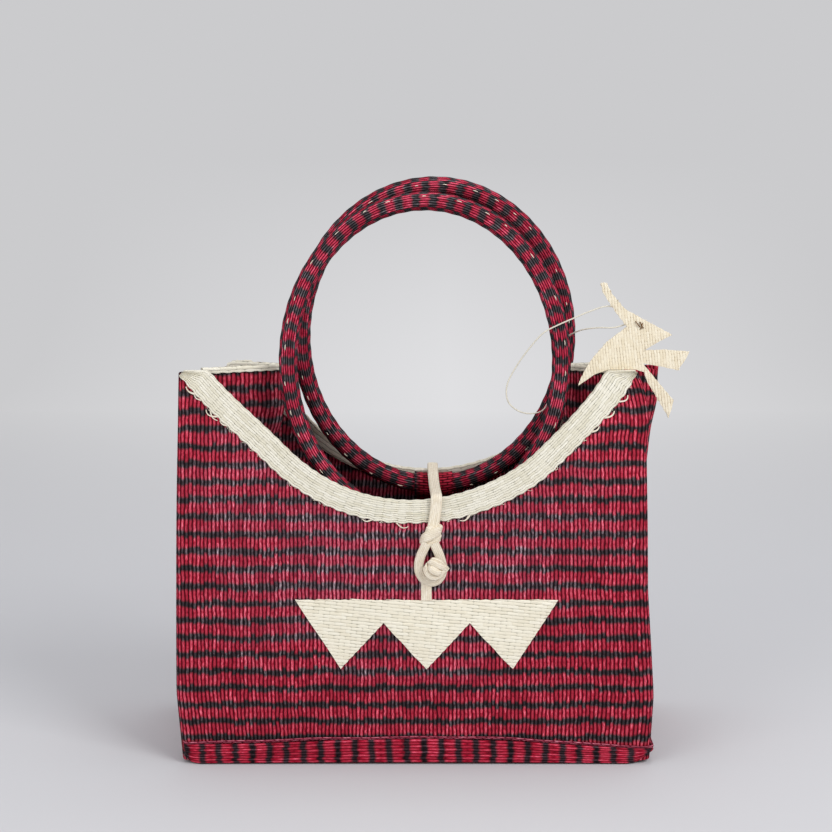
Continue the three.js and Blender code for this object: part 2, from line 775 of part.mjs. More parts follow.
const charm = new THREE.ExtrudeGeometry(new THREE.Shape(charmOutline), {
  depth: CHARM_THICK,
  bevelEnabled: false,
});
charm.rotateX(Math.PI / 2);
charm.translate(0, charmBack + CHARM_THICK, 0);
add("bird_charm", charm, cream);

const tieKnot = new THREE.IcosahedronGeometry(CHARM_KNOT / 2, 1);
add("charm_knot", tieKnot, cream).position.set(
  CHARM_TIE.x,
  charmBack - GAP - CHARM_KNOT / 2,
  CHARM_TIE.z,
);

// The thread runs from the tie across the front of the front ring, down in a slack loop, behind
// that ring, and back between the rings to the tie.
const threadY = charmBack + CHARM_THICK + GAP + THREAD / 2;
const threadRoute = [
  [141.8, threadY, 275],
  [132.8, threadY + 0.1, 280],
  [121.8, threadY, 283.5],
  [110, -25.6, 280],
  [99.8, -24.4, 275.4],
  [90.8, -24.3, 271.4],
  [82.3, -24.4, 266.9],
  [75.8, -23.2, 259.9],
  [65.8, -21.6, 245.9],
  [59.5, -21.8, 232.9],
  [60.3, -22.2, 222.9],
  [66.8, -21.8, 216.9],
  [74.8, -19.8, 214.9],
  [82.8, -17.5, 216.9],
  [87.8, -14.6, 226.9],
  [89.8, -11, 242.9],
  [92.8, -8.5, 254.9],
  [97.8, -8.5, 261.9],
  [105.8, -14, 266.9],
  [115.8, -21.4, 269.4],
  [125.8, threadY, 270.2],
  [133.8, threadY + 0.1, 272.4],
  [140.3, threadY, 273],
].map((p) => new THREE.Vector3(...p));
const threadPath = new THREE.CatmullRomCurve3(threadRoute);
const threadSection = new THREE.Shape(arc(THREAD / 2, 0, Math.PI * 1.75, 7));
add(
  "charm_thread",
  new THREE.ExtrudeGeometry(threadSection, { steps: 76, extrudePath: threadPath }),
  cream,
);

export default bag;
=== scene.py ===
"""A handwoven striped handbag with round handles, a knotted loop closure and a bird charm."""

import logging
import math
import random
from collections.abc import Callable
from dataclasses import dataclass, field
from enum import Enum

import bpy
import numpy as np
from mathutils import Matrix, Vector


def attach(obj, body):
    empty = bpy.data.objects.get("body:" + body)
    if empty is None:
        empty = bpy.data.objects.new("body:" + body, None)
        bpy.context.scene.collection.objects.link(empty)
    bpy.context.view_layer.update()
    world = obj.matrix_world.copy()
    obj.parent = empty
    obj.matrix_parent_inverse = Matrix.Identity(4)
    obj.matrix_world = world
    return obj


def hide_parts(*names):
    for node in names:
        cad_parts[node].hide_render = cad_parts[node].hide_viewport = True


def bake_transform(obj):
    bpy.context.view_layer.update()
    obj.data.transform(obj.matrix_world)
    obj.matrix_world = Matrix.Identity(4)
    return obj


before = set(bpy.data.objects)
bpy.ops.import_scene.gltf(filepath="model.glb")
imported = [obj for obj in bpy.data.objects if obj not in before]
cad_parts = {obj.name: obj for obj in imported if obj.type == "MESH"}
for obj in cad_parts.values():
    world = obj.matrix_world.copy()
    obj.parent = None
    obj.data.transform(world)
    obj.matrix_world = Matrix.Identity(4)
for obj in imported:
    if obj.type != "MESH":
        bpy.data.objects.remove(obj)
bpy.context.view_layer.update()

log = logging.getLogger("handbag")
logging.basicConfig(level=logging.INFO, format="%(name)s: %(message)s")

MM = 0.001
SEAM = 2e-6
CUT_SEAM = 5e-5
WEAVE_MAP = "weave"
SLOPE = math.sqrt(0.5)
TURN = 2 * math.pi
Array = np.ndarray
Piece = bpy.types.Object


class Side(Enum):
    """The two faces of the bag, as the sign of their Y."""

    FRONT = -1
    BACK = 1

    @property
    def word(self) -> str:
        """The side's name in lower case."""
        return self.name.lower()


def by_side(front: float, back: float) -> dict:
    """A dataclass field with one number for each face."""
    return field(default_factory=lambda: {Side.FRONT: front, Side.BACK: back})


# Working with meshes


def pick_none() -> None:
    """Deselects everything."""
    bpy.ops.object.select_all(action="DESELECT")


def make_active(piece: Piece) -> None:
    """Selects one object alone and makes it active."""
    pick_none()
    piece.select_set(True)
    bpy.context.view_layer.objects.active = piece


def in_edit_mode(piece: Piece, *steps: Callable) -> None:
    """Runs mesh operators, given as functions, on the whole of a piece."""
    make_active(piece)
    bpy.ops.object.mode_set(mode="EDIT")
    for step in steps:
        bpy.ops.mesh.select_all(action="SELECT")
        step()
    bpy.ops.object.mode_set(mode="OBJECT")


def merge(piece: Piece, reach: float = SEAM) -> None:
    """Joins vertices that lie on each other."""
    in_edit_mode(piece, lambda: bpy.ops.mesh.remove_doubles(threshold=reach))


def close_up(piece: Piece) -> None:
    """Joins a piece's seams, fills its ends and turns its faces outward."""
    merge(piece)
    in_edit_mode(
        piece,
        lambda: bpy.ops.mesh.fill_holes(sides=0),
        lambda: bpy.ops.mesh.normals_make_consistent(inside=False),
    )


def shade(piece: Piece, degrees: float = 50.0) -> None:
    """Shades a piece smooth, apart from its sharp edges."""
    make_active(piece)
    bpy.ops.object.shade_smooth_by_angle(angle=math.radians(degrees))


def places(mesh: bpy.types.Mesh) -> Array:
    """A mesh's vertices, in millimetres."""
    flat = np.empty(len(mesh.vertices) * 3)
    mesh.vertices.foreach_get("co", flat)
    return flat.reshape(-1, 3) / MM


def put_places(mesh: bpy.types.Mesh, points: Array) -> None:
    """Moves a mesh's vertices to points in millimetres."""
    mesh.vertices.foreach_set("co", (points * MM).ravel())
    mesh.update()


def put_weave(mesh: bpy.types.Mesh, weave: Array) -> None:
    """Writes each vertex's place on the cloth, in millimetres, as the mesh's UV map."""
    corner = np.empty(len(mesh.loops), dtype=int)
    mesh.loops.foreach_get("vertex_index", corner)
    layer = mesh.uv_layers[0] if mesh.uv_layers else mesh.uv_layers.new(name=WEAVE_MAP)
    layer.name = WEAVE_MAP
    layer.uv.foreach_set("vector", weave[corner].ravel())
    mesh.update()


def lay_grid(name: str, points: Array, across: Array, along: Array, shut: bool = False) -> Piece:
    """Adds a grid and lays it over a surface.

    Args:
        name: the piece's name.
        points: rows by columns by 3, in millimetres.
        across: each point's place on the cloth across its ribs, in millimetres.
        along: its place along them.
        shut: whether the surface is a closed body, whose seams and ends are joined.

    Returns:
        The new object.
    """
    rows, columns = points.shape[:2]
    pick_none()
    bpy.ops.mesh.primitive_grid_add(
        x_subdivisions=columns - 1, y_subdivisions=rows - 1, size=1.0, calc_uvs=True
    )
    piece = bpy.context.active_object
    piece.name = piece.data.name = name
    share = (places(piece.data) * MM + 0.5)[:, :2]
    column, row = np.rint(share * (columns - 1, rows - 1)).astype(int).T
    put_places(piece.data, points[row, column])
    weave = np.stack([np.broadcast_to(part, points.shape[:2]) for part in (across, along)], axis=-1)
    put_weave(piece.data, weave[row, column])
    if shut:
        close_up(piece)
    return piece


def thicken(piece: Piece, millimetres: float) -> None:
    """Gives a sheet its thickness on its inner side."""
    make_active(piece)
    wall = piece.modifiers.new("Wall", "SOLIDIFY")
    wall.thickness = millimetres * MM
    wall.offset = -1.0
    bpy.ops.object.modifier_apply(modifier=wall.name)


def join_all(name: str, pieces: list) -> Piece:
    """Joins objects into one under a name."""
    make_active(pieces[0])
    for piece in pieces[1:]:
        piece.select_set(True)
    bpy.ops.object.join()
    joined = bpy.context.active_object
    joined.name = joined.data.name = name
    return joined


# Lines, sections and sweeps, in millimetres


def ramp(value: Array, low: float, high: float) -> Array:
    """How far a value has come from low to high, from 0 to 1."""
    return np.clip((value - low) / (high - low), 0.0, 1.0)


def hump(value: Array, middle: float, wide: float) -> Array:
    """A soft bump that is 1 at its middle."""
    return np.exp(-(((value - middle) / wide) ** 2))


def between(low: float, first: Array, high: float, second: Array, at: float) -> Array:
    """The point of a straight line that is first at low and second at high."""
    return ((high - at) * first + (at - low) * second) / (high - low)


def through(points: list, count: int) -> Array:
    """A smooth line of count points through given ones, as a centripetal Catmull-Rom curve."""
    p = np.array(points, dtype=float)
    p = np.vstack([2 * p[0] - p[1], p, 2 * p[-1] - p[-2]])
    spans = len(p) - 3
    line = []
    for t in np.linspace(0, spans, count):
        i = min(int(t), spans - 1)
        a, b, c, d = p[i : i + 4]
        steps = [math.sqrt(np.linalg.norm(step)) for step in (b - a, c - b, d - c)]
        k0, k1, k2, k3 = np.cumsum([0.0, *steps])
        s = k1 + (t - i) * (k2 - k1)
        ab, bc, cd = between(k0, a, k1, b, s), between(k1, b, k2, c, s), between(k2, c, k3, d, s)
        line.append(between(k1, between(k0, ab, k2, bc, s), k2, between(k1, bc, k3, cd, s), s))
    return np.array(line)


def shifted(origin: tuple, marks: list) -> Array:
    """Points given as steps from one of them."""
    return np.array(origin) + np.array(marks, dtype=float)


def running(line: Array) -> Array:
    """The distance along a line at each of its points."""
    steps = np.linalg.norm(np.diff(line, axis=0), axis=1)
    return np.concatenate([[0.0], np.cumsum(steps)])


def left_of(path: Array) -> Array:
    """The unit normals on the left of a flat path."""
    ahead = np.gradient(path, axis=0)
    ahead /= np.linalg.norm(ahead, axis=1)[:, None]
    return np.stack([-ahead[:, 1], ahead[:, 0]], axis=1)


def frames(line: Array, side: Array) -> tuple:
    """The sideways and the outward direction at each point of a line.

    Args:
        line: the line's points.
        side: the direction that the first one keeps to as far as the line lets it.

    Returns:
        The two sets of unit vectors, each count by 3.
    """
    along = np.gradient(line, axis=0)
    along /= np.linalg.norm(along, axis=1)[:, None]
    across = side - (along @ side)[:, None] * along
    across /= np.linalg.norm(across, axis=1)[:, None]
    return across, np.cross(across, along)


def sweep(
    name: str,
    line: Array,
    section: Array,
    side: tuple = (1.0, 0.0, 0.0),
    taper: Array | float = 1.0,
    loop: bool = False,
) -> Piece:
    """A closed section carried along a line.

    Args:
        name: the piece's name.
        line: the middle line.
        section: count by 2, across and outward.
        side: the direction that the section's first axis keeps to.
        taper: a scale for each point of the line.
        loop: whether the line's last point is its first.

    Returns:
        The new object, with cloth places that run round and along it.
    """
    across, outward = frames(line, np.array(side, dtype=float))
    if loop:
        for vectors in (across, outward):
            vectors[0] = vectors[-1] = (vectors[0] + vectors[-1]) / 2
    ring = np.vstack([section, section[:1]])
    scale = np.broadcast_to(taper, len(line))[:, None, None]
    width, depth = ring[:, :1] * scale, ring[:, 1:] * scale
    points = line[:, None] + across[:, None] * width + outward[:, None] * depth
    return lay_grid(name, points, running(ring), running(line)[:, None], shut=True)


def oval(width: float, depth: float, count: int, fullness: float = 1.0) -> Array:
    """A round or flat section, fuller at its corners as fullness falls below 1."""
    a = np.linspace(0, TURN, count, endpoint=False)
    round_way = np.stack([np.cos(a), np.sin(a)], axis=1)
    return np.sign(round_way) * np.abs(round_way) ** fullness * (width / 2, depth / 2)


def finish_piece(
    piece: Piece, material: bpy.types.Material, body: str | None, slot: str, *nodes: str, smooth: float = 50.0
) -> Piece:
    """Shades and dresses a piece, and ties it to the frame.

    Args:
        piece: the finished object.
        material: its finish.
        body: the body that it moves with, or None for a piece that is tied to no body.
        slot: not used.
        nodes: the CAD nodes that it stands for.
        smooth: the angle up to which its edges are shaded smooth.

    Returns:
        The same object.
    """
    shade(piece, smooth)
    piece.data.materials.clear()
    piece.data.materials.append(material)
    if body:
        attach(piece, body)
    if nodes:
        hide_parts(*nodes)
    log.info("%s: %d faces, with %s", piece.name, len(piece.data.polygons), body)
    return piece


# Shader nodes


def sign(operation: str) -> Callable[..., "Value"]:
    """A method of Value that adds one Math node."""
    return lambda value, *others: value.bench.maths(operation, value, *others)


class Value:
    """A node's output that can be reckoned with: each sign adds a Math node."""

    __add__ = sign("ADD")
    __sub__ = sign("SUBTRACT")
    __mul__ = sign("MULTIPLY")
    __truediv__ = sign("DIVIDE")
    __pow__ = sign("POWER")
    __abs__ = sign("ABSOLUTE")
    floor = sign("FLOOR")
    fract = sign("FRACT")

    def __init__(self, bench: "Bench", socket: bpy.types.NodeSocket) -> None:
        """Keeps the output and the bench that its Math nodes go on."""
        self.bench, self.socket = bench, socket

    def __rsub__(self, other: float) -> "Value":
        """The difference from a number."""
        return self.bench.maths("SUBTRACT", other, self)


Input = Value | float | tuple


class Bench:
    """A node tree with short calls for its nodes."""

    def __init__(self, tree: bpy.types.NodeTree) -> None:
        """Keeps the tree that the nodes go into."""
        self.tree = tree

    def put(self, socket: bpy.types.NodeSocket, value: Input) -> None:
        """Links a socket to a value, or sets it to a number or colour."""
        if isinstance(value, Value):
            self.tree.links.new(value.socket, socket)
        else:
            socket.default_value = value

    def node(self, kind: str, inputs: dict | None = None, **settings) -> bpy.types.Node:
        """Adds a node, sets its properties and fills its inputs, by name or number."""
        node = self.tree.nodes.new(kind)
        for key, value in settings.items():
            setattr(node, key, value)
        for key, value in (inputs or {}).items():
            self.put(node.inputs[key], value)
        return node

    def read(self, kind: str, *inputs: Input, out: int | str = 0, **settings) -> Value:
        """Adds a node and gives one of its outputs."""
        return Value(self, self.node(kind, dict(enumerate(inputs)), **settings).outputs[out])

    def maths(self, operation: str, *values: Input) -> Value:
        """One Math node."""
        return self.read("ShaderNodeMath", *values, operation=operation)

    def mix(self, factor: Input, first: Input, second: Input, blend: str = "MIX") -> Value:
        """A colour mix."""
        inputs = {0: factor, 6: first, 7: second}
        node = self.node("ShaderNodeMix", inputs, data_type="RGBA", blend_type=blend)
        return Value(self, node.outputs[2])

    def span(
        self, value: Value, low: float, high: float, to_low: float = 0.0, to_high: float = 1.0
    ) -> Value:
        """A clamped Map Range from one span to another."""
        return self.read("ShaderNodeMapRange", value, low, high, to_low, to_high, clamp=True)

    def vector(self, x: Input = 0.0, y: Input = 0.0, z: Input = 0.0) -> Value:
        """A vector made from three values."""
        return self.read("ShaderNodeCombineXYZ", x, y, z)

    def split(self, vector: Value) -> list:
        """A vector's three values."""
        node = self.node("ShaderNodeSeparateXYZ", {0: vector})
        return [Value(self, output) for output in node.outputs]

    def spot(self) -> Value:
        """The place on the object, in metres."""
        return self.read("ShaderNodeTexCoord", out="Object")

    def noise(self, vector: Value, scale: float, detail: float = 2.0) -> Value:
        """A noise value from 0 to 1."""
        inputs = {"Vector": vector, "Scale": scale, "Detail": detail}
        return Value(self, self.node("ShaderNodeTexNoise", inputs).outputs["Fac"])

    def chance(self, column: Value, row: Value) -> Value:
        """A random value for each cell of two whole numbers."""
        cell = self.vector(column, row)
        return self.read("ShaderNodeTexWhiteNoise", cell, out="Value", noise_dimensions="2D")


def weave_group() -> bpy.types.NodeTree:
    """The node group of a ribbed weave with stripes across its ribs.

    Jag shifts a stripe's edge on every second rib, Jitter on each stitch, Soft blurs it, and Ends
    is how deep the ends of the stitches are drawn.

    Returns:
        A group with the outputs Stripe (1 on a dark stripe), Height, Shade (random for each
        stitch), Fibre (fine streaks along the ribs) and Strand (the rib's number).
    """
    group = bpy.data.node_groups.new("ribbed_weave", "ShaderNodeTree")
    face = group.interface
    face.new_socket("Place", in_out="INPUT", socket_type="NodeSocketVector")
    numbers = {"Rib": 2.4, "Stitch": 5.4, "Stripe": 10.9, "Dark": 0.33, "Jag": 0.0, "Jitter": 0.7}
    numbers |= {"Soft": 0.04, "Ends": 1.0, "Checker": 1000.0, "Slant": 0.0, "Uneven": 0.5, "Wobble": 1.5}
    for name, value in numbers.items():
        face.new_socket(name, in_out="INPUT", socket_type="NodeSocketFloat").default_value = value
    b = Bench(group)
    given = {output.name: Value(b, output) for output in b.node("NodeGroupInput").outputs if output.name}
    place = given["Place"]
    across, along, _ = b.split(place)
    along = along + (b.noise(place, 0.03) - 0.5) * given["Wobble"] + across * given["Slant"]
    across = across + (b.noise(place, 0.11) - 0.5) * given["Uneven"]
    rib = across / given["Rib"]
    strand = rib.floor()
    parity = (strand * 0.5).fract() * 2.0
    stitch = along / given["Stitch"] + parity * 0.5
    jitter = b.chance(strand, stitch.floor()) - 0.5
    shift = (parity - 0.5) * given["Jag"] + jitter * given["Jitter"]
    step = ((across / given["Checker"]).floor() * 0.5).fract()
    turn = (along + shift) / given["Stripe"] + step
    edge = abs(turn.fract() - 0.5) + given["Dark"] * 0.5 - 0.5
    ends = abs(stitch.fract() * 2.0 - 1.0) ** 5.0 * 0.7 * given["Ends"]
    hill = 1.0 - abs(rib.fract() * 2.0 - 1.0) ** 2.0
    fibre = b.noise(b.vector(across * 3.2, along * 0.35), 1.0, 3.0)
    # Height is also what the striped finishes turn into painted shade in the gaps and at stitch ends, and
    # painted highlight on the crowns.
    results = {
        "Stripe": b.span(edge / given["Soft"], -1.0, 1.0),
        "Height": hill * (1.0 - ends) + (fibre - 0.5) * 0.3,
        "Shade": b.chance(strand, stitch.floor() + 77.0),
        "Fibre": fibre,
        "Strand": strand,
    }
    for name in results:
        face.new_socket(name, in_out="OUTPUT", socket_type="NodeSocketFloat")
    b.node("NodeGroupOutput", results)
    return group


class Finish:
    """A material with a Principled BSDF and a bench for its nodes."""

    def __init__(self, name: str) -> None:
        """Makes the material under its name."""
        self.material = bpy.data.materials.new(name)
        self.material.use_nodes = True
        self.bench = Bench(self.material.node_tree)
        self.shader = self.material.node_tree.nodes["Principled BSDF"]

    def weave(self, group: bpy.types.NodeTree, values: dict) -> dict:
        """Places the weave group with its own values, and gives its outputs by name."""
        b = self.bench
        self.place = b.read("ShaderNodeUVMap", uv_map=WEAVE_MAP)
        self.node = b.node("ShaderNodeGroup", {}, node_tree=group)
        for name, value in {"Place": self.place, **values}.items():
            b.put(self.node.inputs[name], value)
        return {output.name: Value(b, output) for output in self.node.outputs}

    def give(self, **inputs: Input) -> bpy.types.Material:
        """Fills the shader's inputs, whose names are written with underscores."""
        for name, value in inputs.items():
            self.bench.put(self.shader.inputs[name.replace("_", " ")], value)
        return self.material

    def bump(self, height: Value, distance: float, strength: float) -> Value:
        """A normal from a height, with its distance in millimetres."""
        inputs = {"Distance": distance * MM, "Strength": strength, "Height": height}
        return Value(self.bench, self.bench.node("ShaderNodeBump", inputs).outputs[0])


def rgb(red: float, green: float, blue: float) -> tuple:
    """A colour written as 0 to 255, as the shader's linear colour."""
    linear = [((c / 255 + 0.055) / 1.055) ** 2.4 if c > 10 else c / 255 / 12.92 for c in (red, green, blue)]
    return (*linear, 1.0)


def tones(*colours: tuple) -> tuple:
    """Colours written as 0 to 255. A yarn has three: painted shade for its gaps, its fibre and a painted
    highlight for its lit crown.
    """
    return tuple(rgb(*colour) for colour in colours)


BLACK = rgb(0, 0, 0)


@dataclass(frozen=True)
class StripedWeave:
    """Crimson and charcoal ribbed weave."""

    name: str
    values: dict
    # Each yarn's three tones: painted shade in the gaps between ribs, the yarn's own colour, and a painted
    # highlight on the crowns.
    red: tuple = tones((64, 0, 14), (190, 22, 52), (240, 126, 146))
    dark: tuple = tones((10, 4, 7), (42, 34, 38), (158, 144, 148))
    faded: tuple = tones((56, 2, 18), (184, 38, 68), (246, 162, 180))
    worn: tuple = tones((14, 6, 10), (66, 50, 58), (220, 196, 204))
    # body: the heights over which the painted gap shade gives way to the yarn's own colour.
    body: tuple = (0.3, 0.78)
    fade_centre: bool = False

    def tone(self, b: Bench, yarn: tuple, height: Value, crown_highlight: Value) -> Value:
        """One yarn's colour, from painted shade in its gap over its body to a painted highlight on its crown.
        """
        return b.mix(crown_highlight, b.mix(b.span(height, *self.body), yarn[0], yarn[1]), yarn[2])

    def patch(self, b: Bench, place: Value) -> Value:
        """How faded the cloth is: an uneven patch on the bag's middle, ragged along its rows."""
        x, _, z = b.split(b.spot())
        wide, high = (x + 0.012) * 8.2, (z - 0.15) * 11.0
        ragged = b.noise(place, 0.025, 3.0) * 2.0 - 1.0
        rows = b.noise(b.vector(x * 9.0, z * 95.0), 1.0) * 2.4 - 1.2
        return b.span(wide * wide + high * high + ragged + rows, 0.0, 1.4, 0.95, 0.05)

    def build(self, group: bpy.types.NodeTree) -> bpy.types.Material:
        """Makes the material on the weave's node group."""
        finish = Finish(self.name)
        b, out = finish.bench, finish.weave(group, self.values)
        height, fibre, shine = out["Height"], out["Fibre"], out["Shade"]
        # Painted highlight on the rib crowns, and painted shade in the gaps between ribs and at the stitch
        # ends, both read from the weave's height.
        glint = b.span(fibre, 0.4, 0.66) * b.span(shine, 0.1, 1.0)
        crown_highlight = b.span(height, 0.66, 1.02) * (glint * 0.75 + 0.18)
        red = self.tone(b, self.red, height, crown_highlight)
        dark = self.tone(b, self.dark, height, crown_highlight * 0.55)
        if self.fade_centre:
            fade = self.patch(b, finish.place)
            b.put(finish.node.inputs["Dark"], fade * 0.06 + self.values["Dark"])
            red = b.mix(fade, red, self.tone(b, self.faded, height, crown_highlight))
            dark = b.mix(fade, dark, self.tone(b, self.worn, height, crown_highlight))
        lit = b.span(shine, 0.0, 1.0, 0.7, 1.1) * b.span(fibre, 0.32, 0.62, 0.62, 1.12)
        return finish.give(
            Base_Color=b.mix(1.0, b.mix(out["Stripe"], red, dark), b.vector(lit, lit, lit), "MULTIPLY"),
            Roughness=b.span(fibre, 0.3, 0.7, 0.55, 0.75),
            Specular_IOR_Level=0.08,
            Normal=finish.bump(height, 0.4, 0.7),
        )


@dataclass(frozen=True)
class PalePlait:
    """Natural pale fibre, plaited flat, with thin broken shadows between its strands."""

    name: str
    values: dict = field(default_factory=dict)
    pale: tuple = rgb(243, 239, 226)
    warm: tuple = rgb(229, 221, 200)
    line: tuple = rgb(118, 110, 84)
    shadow: float = 0.8
    least: float = 0.14

    def build(self, group: bpy.types.NodeTree) -> bpy.types.Material:
        """Makes the material on the weave's node group."""
        finish = Finish(self.name)
        b, out = finish.bench, finish.weave(group, self.values)
        colour = b.mix(out["Shade"] * 0.6, self.pale, self.warm)
        colour = b.mix(b.span(out["Fibre"], 0.4, 0.7, 0.0, 0.5), colour, self.warm)
        along = b.split(finish.place)[1]
        broken = b.span(b.noise(b.vector(out["Strand"] * 3.7, along * 0.22), 1.0, 3.0), 0.42, 0.56)
        grooves = b.span(out["Height"], 0.02, 0.4, 1.0, 0.0) * (broken * self.shadow + self.least)
        return finish.give(
            Base_Color=b.mix(grooves, colour, self.line),
            Roughness=b.span(out["Fibre"], 0.3, 0.7, 0.6, 0.8),
            Specular_IOR_Level=0.25,
            Normal=finish.bump(out["Height"], 0.3, 0.5),
        )


def grained(name: str, scale: float, detail: float, colours: tuple, rough: tuple) -> bpy.types.Material:
    """A finish of two tones in a fine grain.

    Args:
        name: the material's name.
        scale: the grain's scale, per metre.
        detail: the grain's detail.
        colours: the two tones, as 0 to 255.
        rough: the least and the greatest roughness.

    Returns:
        The material.
    """
    finish = Finish(name)
    b = finish.bench
    grain = b.noise(b.spot(), scale, detail)
    low, high = tones(*colours)
    return finish.give(Base_Color=b.mix(grain, low, high), Roughness=b.span(grain, 0.3, 0.7, *rough))


class Finishes:
    """Every finish of the bag."""

    def __init__(self) -> None:
        """Builds the materials."""
        group = weave_group()
        cloth_rows = {"Stitch": 10.66, "Stripe": 10.66}
        uneven = {"Jitter": 1.9, "Jag": 0.4, "Wobble": 4.5, "Uneven": 1.7}
        # In every striped finish, each yarn's first tone is painted shade in the gaps and its last a painted
        # highlight on the crowns.
        self.cloth = StripedWeave(
            "striped_cloth",
            {**cloth_rows, **uneven, "Dark": 0.4, "Soft": 0.085, "Ends": 0.3},
            body=(0.2, 0.86),
            fade_centre=True,
        ).build(group)
        long_stripes = {"Rib": 1.75, "Stitch": 27.0, "Stripe": 10.8, "Dark": 0.41}
        self.band = StripedWeave(
            "base_band",
            {**long_stripes, "Jag": 0.2, "Jitter": 1.2, "Wobble": 1.4, "Soft": 0.09},
            red=tones((134, 14, 36), (200, 30, 60), (236, 116, 140)),
            dark=tones((20, 13, 17), (50, 34, 40), (140, 110, 120)),
        ).build(group)
        self.piping = StripedWeave(
            "piping_weave",
            {"Rib": 1.3, "Stitch": 6.0, "Dark": 0.0, "Slant": 0.7},
            red=tones((96, 24, 42), (168, 56, 80), (226, 160, 174)),
        ).build(group)
        self.base = StripedWeave(
            "base_weave", {**cloth_rows, "Dark": 0.34, "Jitter": 2.4, "Soft": 0.08}
        ).build(group)
        checks = {"Rib": 1.505, "Stitch": 23.0, "Dark": 0.51, "Checker": 9.03}
        self.ring = StripedWeave(
            "ring_weave",
            {**checks, "Jitter": 1.8, "Jag": 0.5, "Wobble": 2.4, "Soft": 0.09, "Ends": 0.4},
            red=tones((66, 4, 20), (196, 28, 62), (250, 130, 156)),
            dark=tones((12, 9, 11), (52, 46, 51), (182, 172, 176)),
        ).build(group)
        self.tab = StripedWeave(
            "tab_weave",
            {"Rib": 1.9, "Stitch": 6.2, "Stripe": 40.0, "Dark": 0.13, "Jitter": 1.0, "Wobble": 0.6},
            red=tones((60, 6, 18), (184, 24, 50), (232, 84, 108)),
        ).build(group)
        self.trim = PalePlait(
            "pale_trim",
            {"Rib": 2.06, "Stitch": 9.0, "Wobble": 1.4, "Uneven": 1.0},
            pale=rgb(242, 238, 224),
            warm=rgb(210, 203, 178),
            line=rgb(74, 68, 46),
            shadow=0.6,
            least=0.36,
        ).build(group)
        self.motif = PalePlait(
            "pale_motif",
            {"Rib": 2.1, "Stitch": 7.0, "Wobble": 2.6},
            pale=rgb(244, 239, 222),
            warm=rgb(230, 221, 197),
        ).build(group)
        self.cord = PalePlait(
            "pale_cord",
            {"Rib": 1.1, "Stitch": 3.2, "Wobble": 0.6, "Slant": 0.5},
            pale=rgb(243, 234, 216),
            warm=rgb(224, 210, 184),
            line=rgb(160, 140, 108),
            shadow=0.6,
        ).build(group)
        self.bird = PalePlait(
            "pale_bird",
            {"Rib": 1.75, "Stitch": 4.0, "Wobble": 1.2},
            pale=rgb(245, 236, 214),
            warm=rgb(228, 213, 182),
            line=rgb(148, 122, 84),
            shadow=0.75,
        ).build(group)
        self.tie = PalePlait("tie_thread", pale=rgb(120, 84, 44), warm=rgb(84, 56, 30)).build(group)
        self.cane = grained(
            "cane", scale=900.0, detail=4.0, colours=((150, 108, 60), (204, 168, 112)), rough=(0.4, 0.6)
        )
        self.thread = grained(
            "natural_thread",
            scale=700.0,
            detail=3.0,
            colours=((206, 200, 182), (238, 232, 214)),
            rough=(0.5, 0.75),
        )


# The form that every sub-assembly lies on


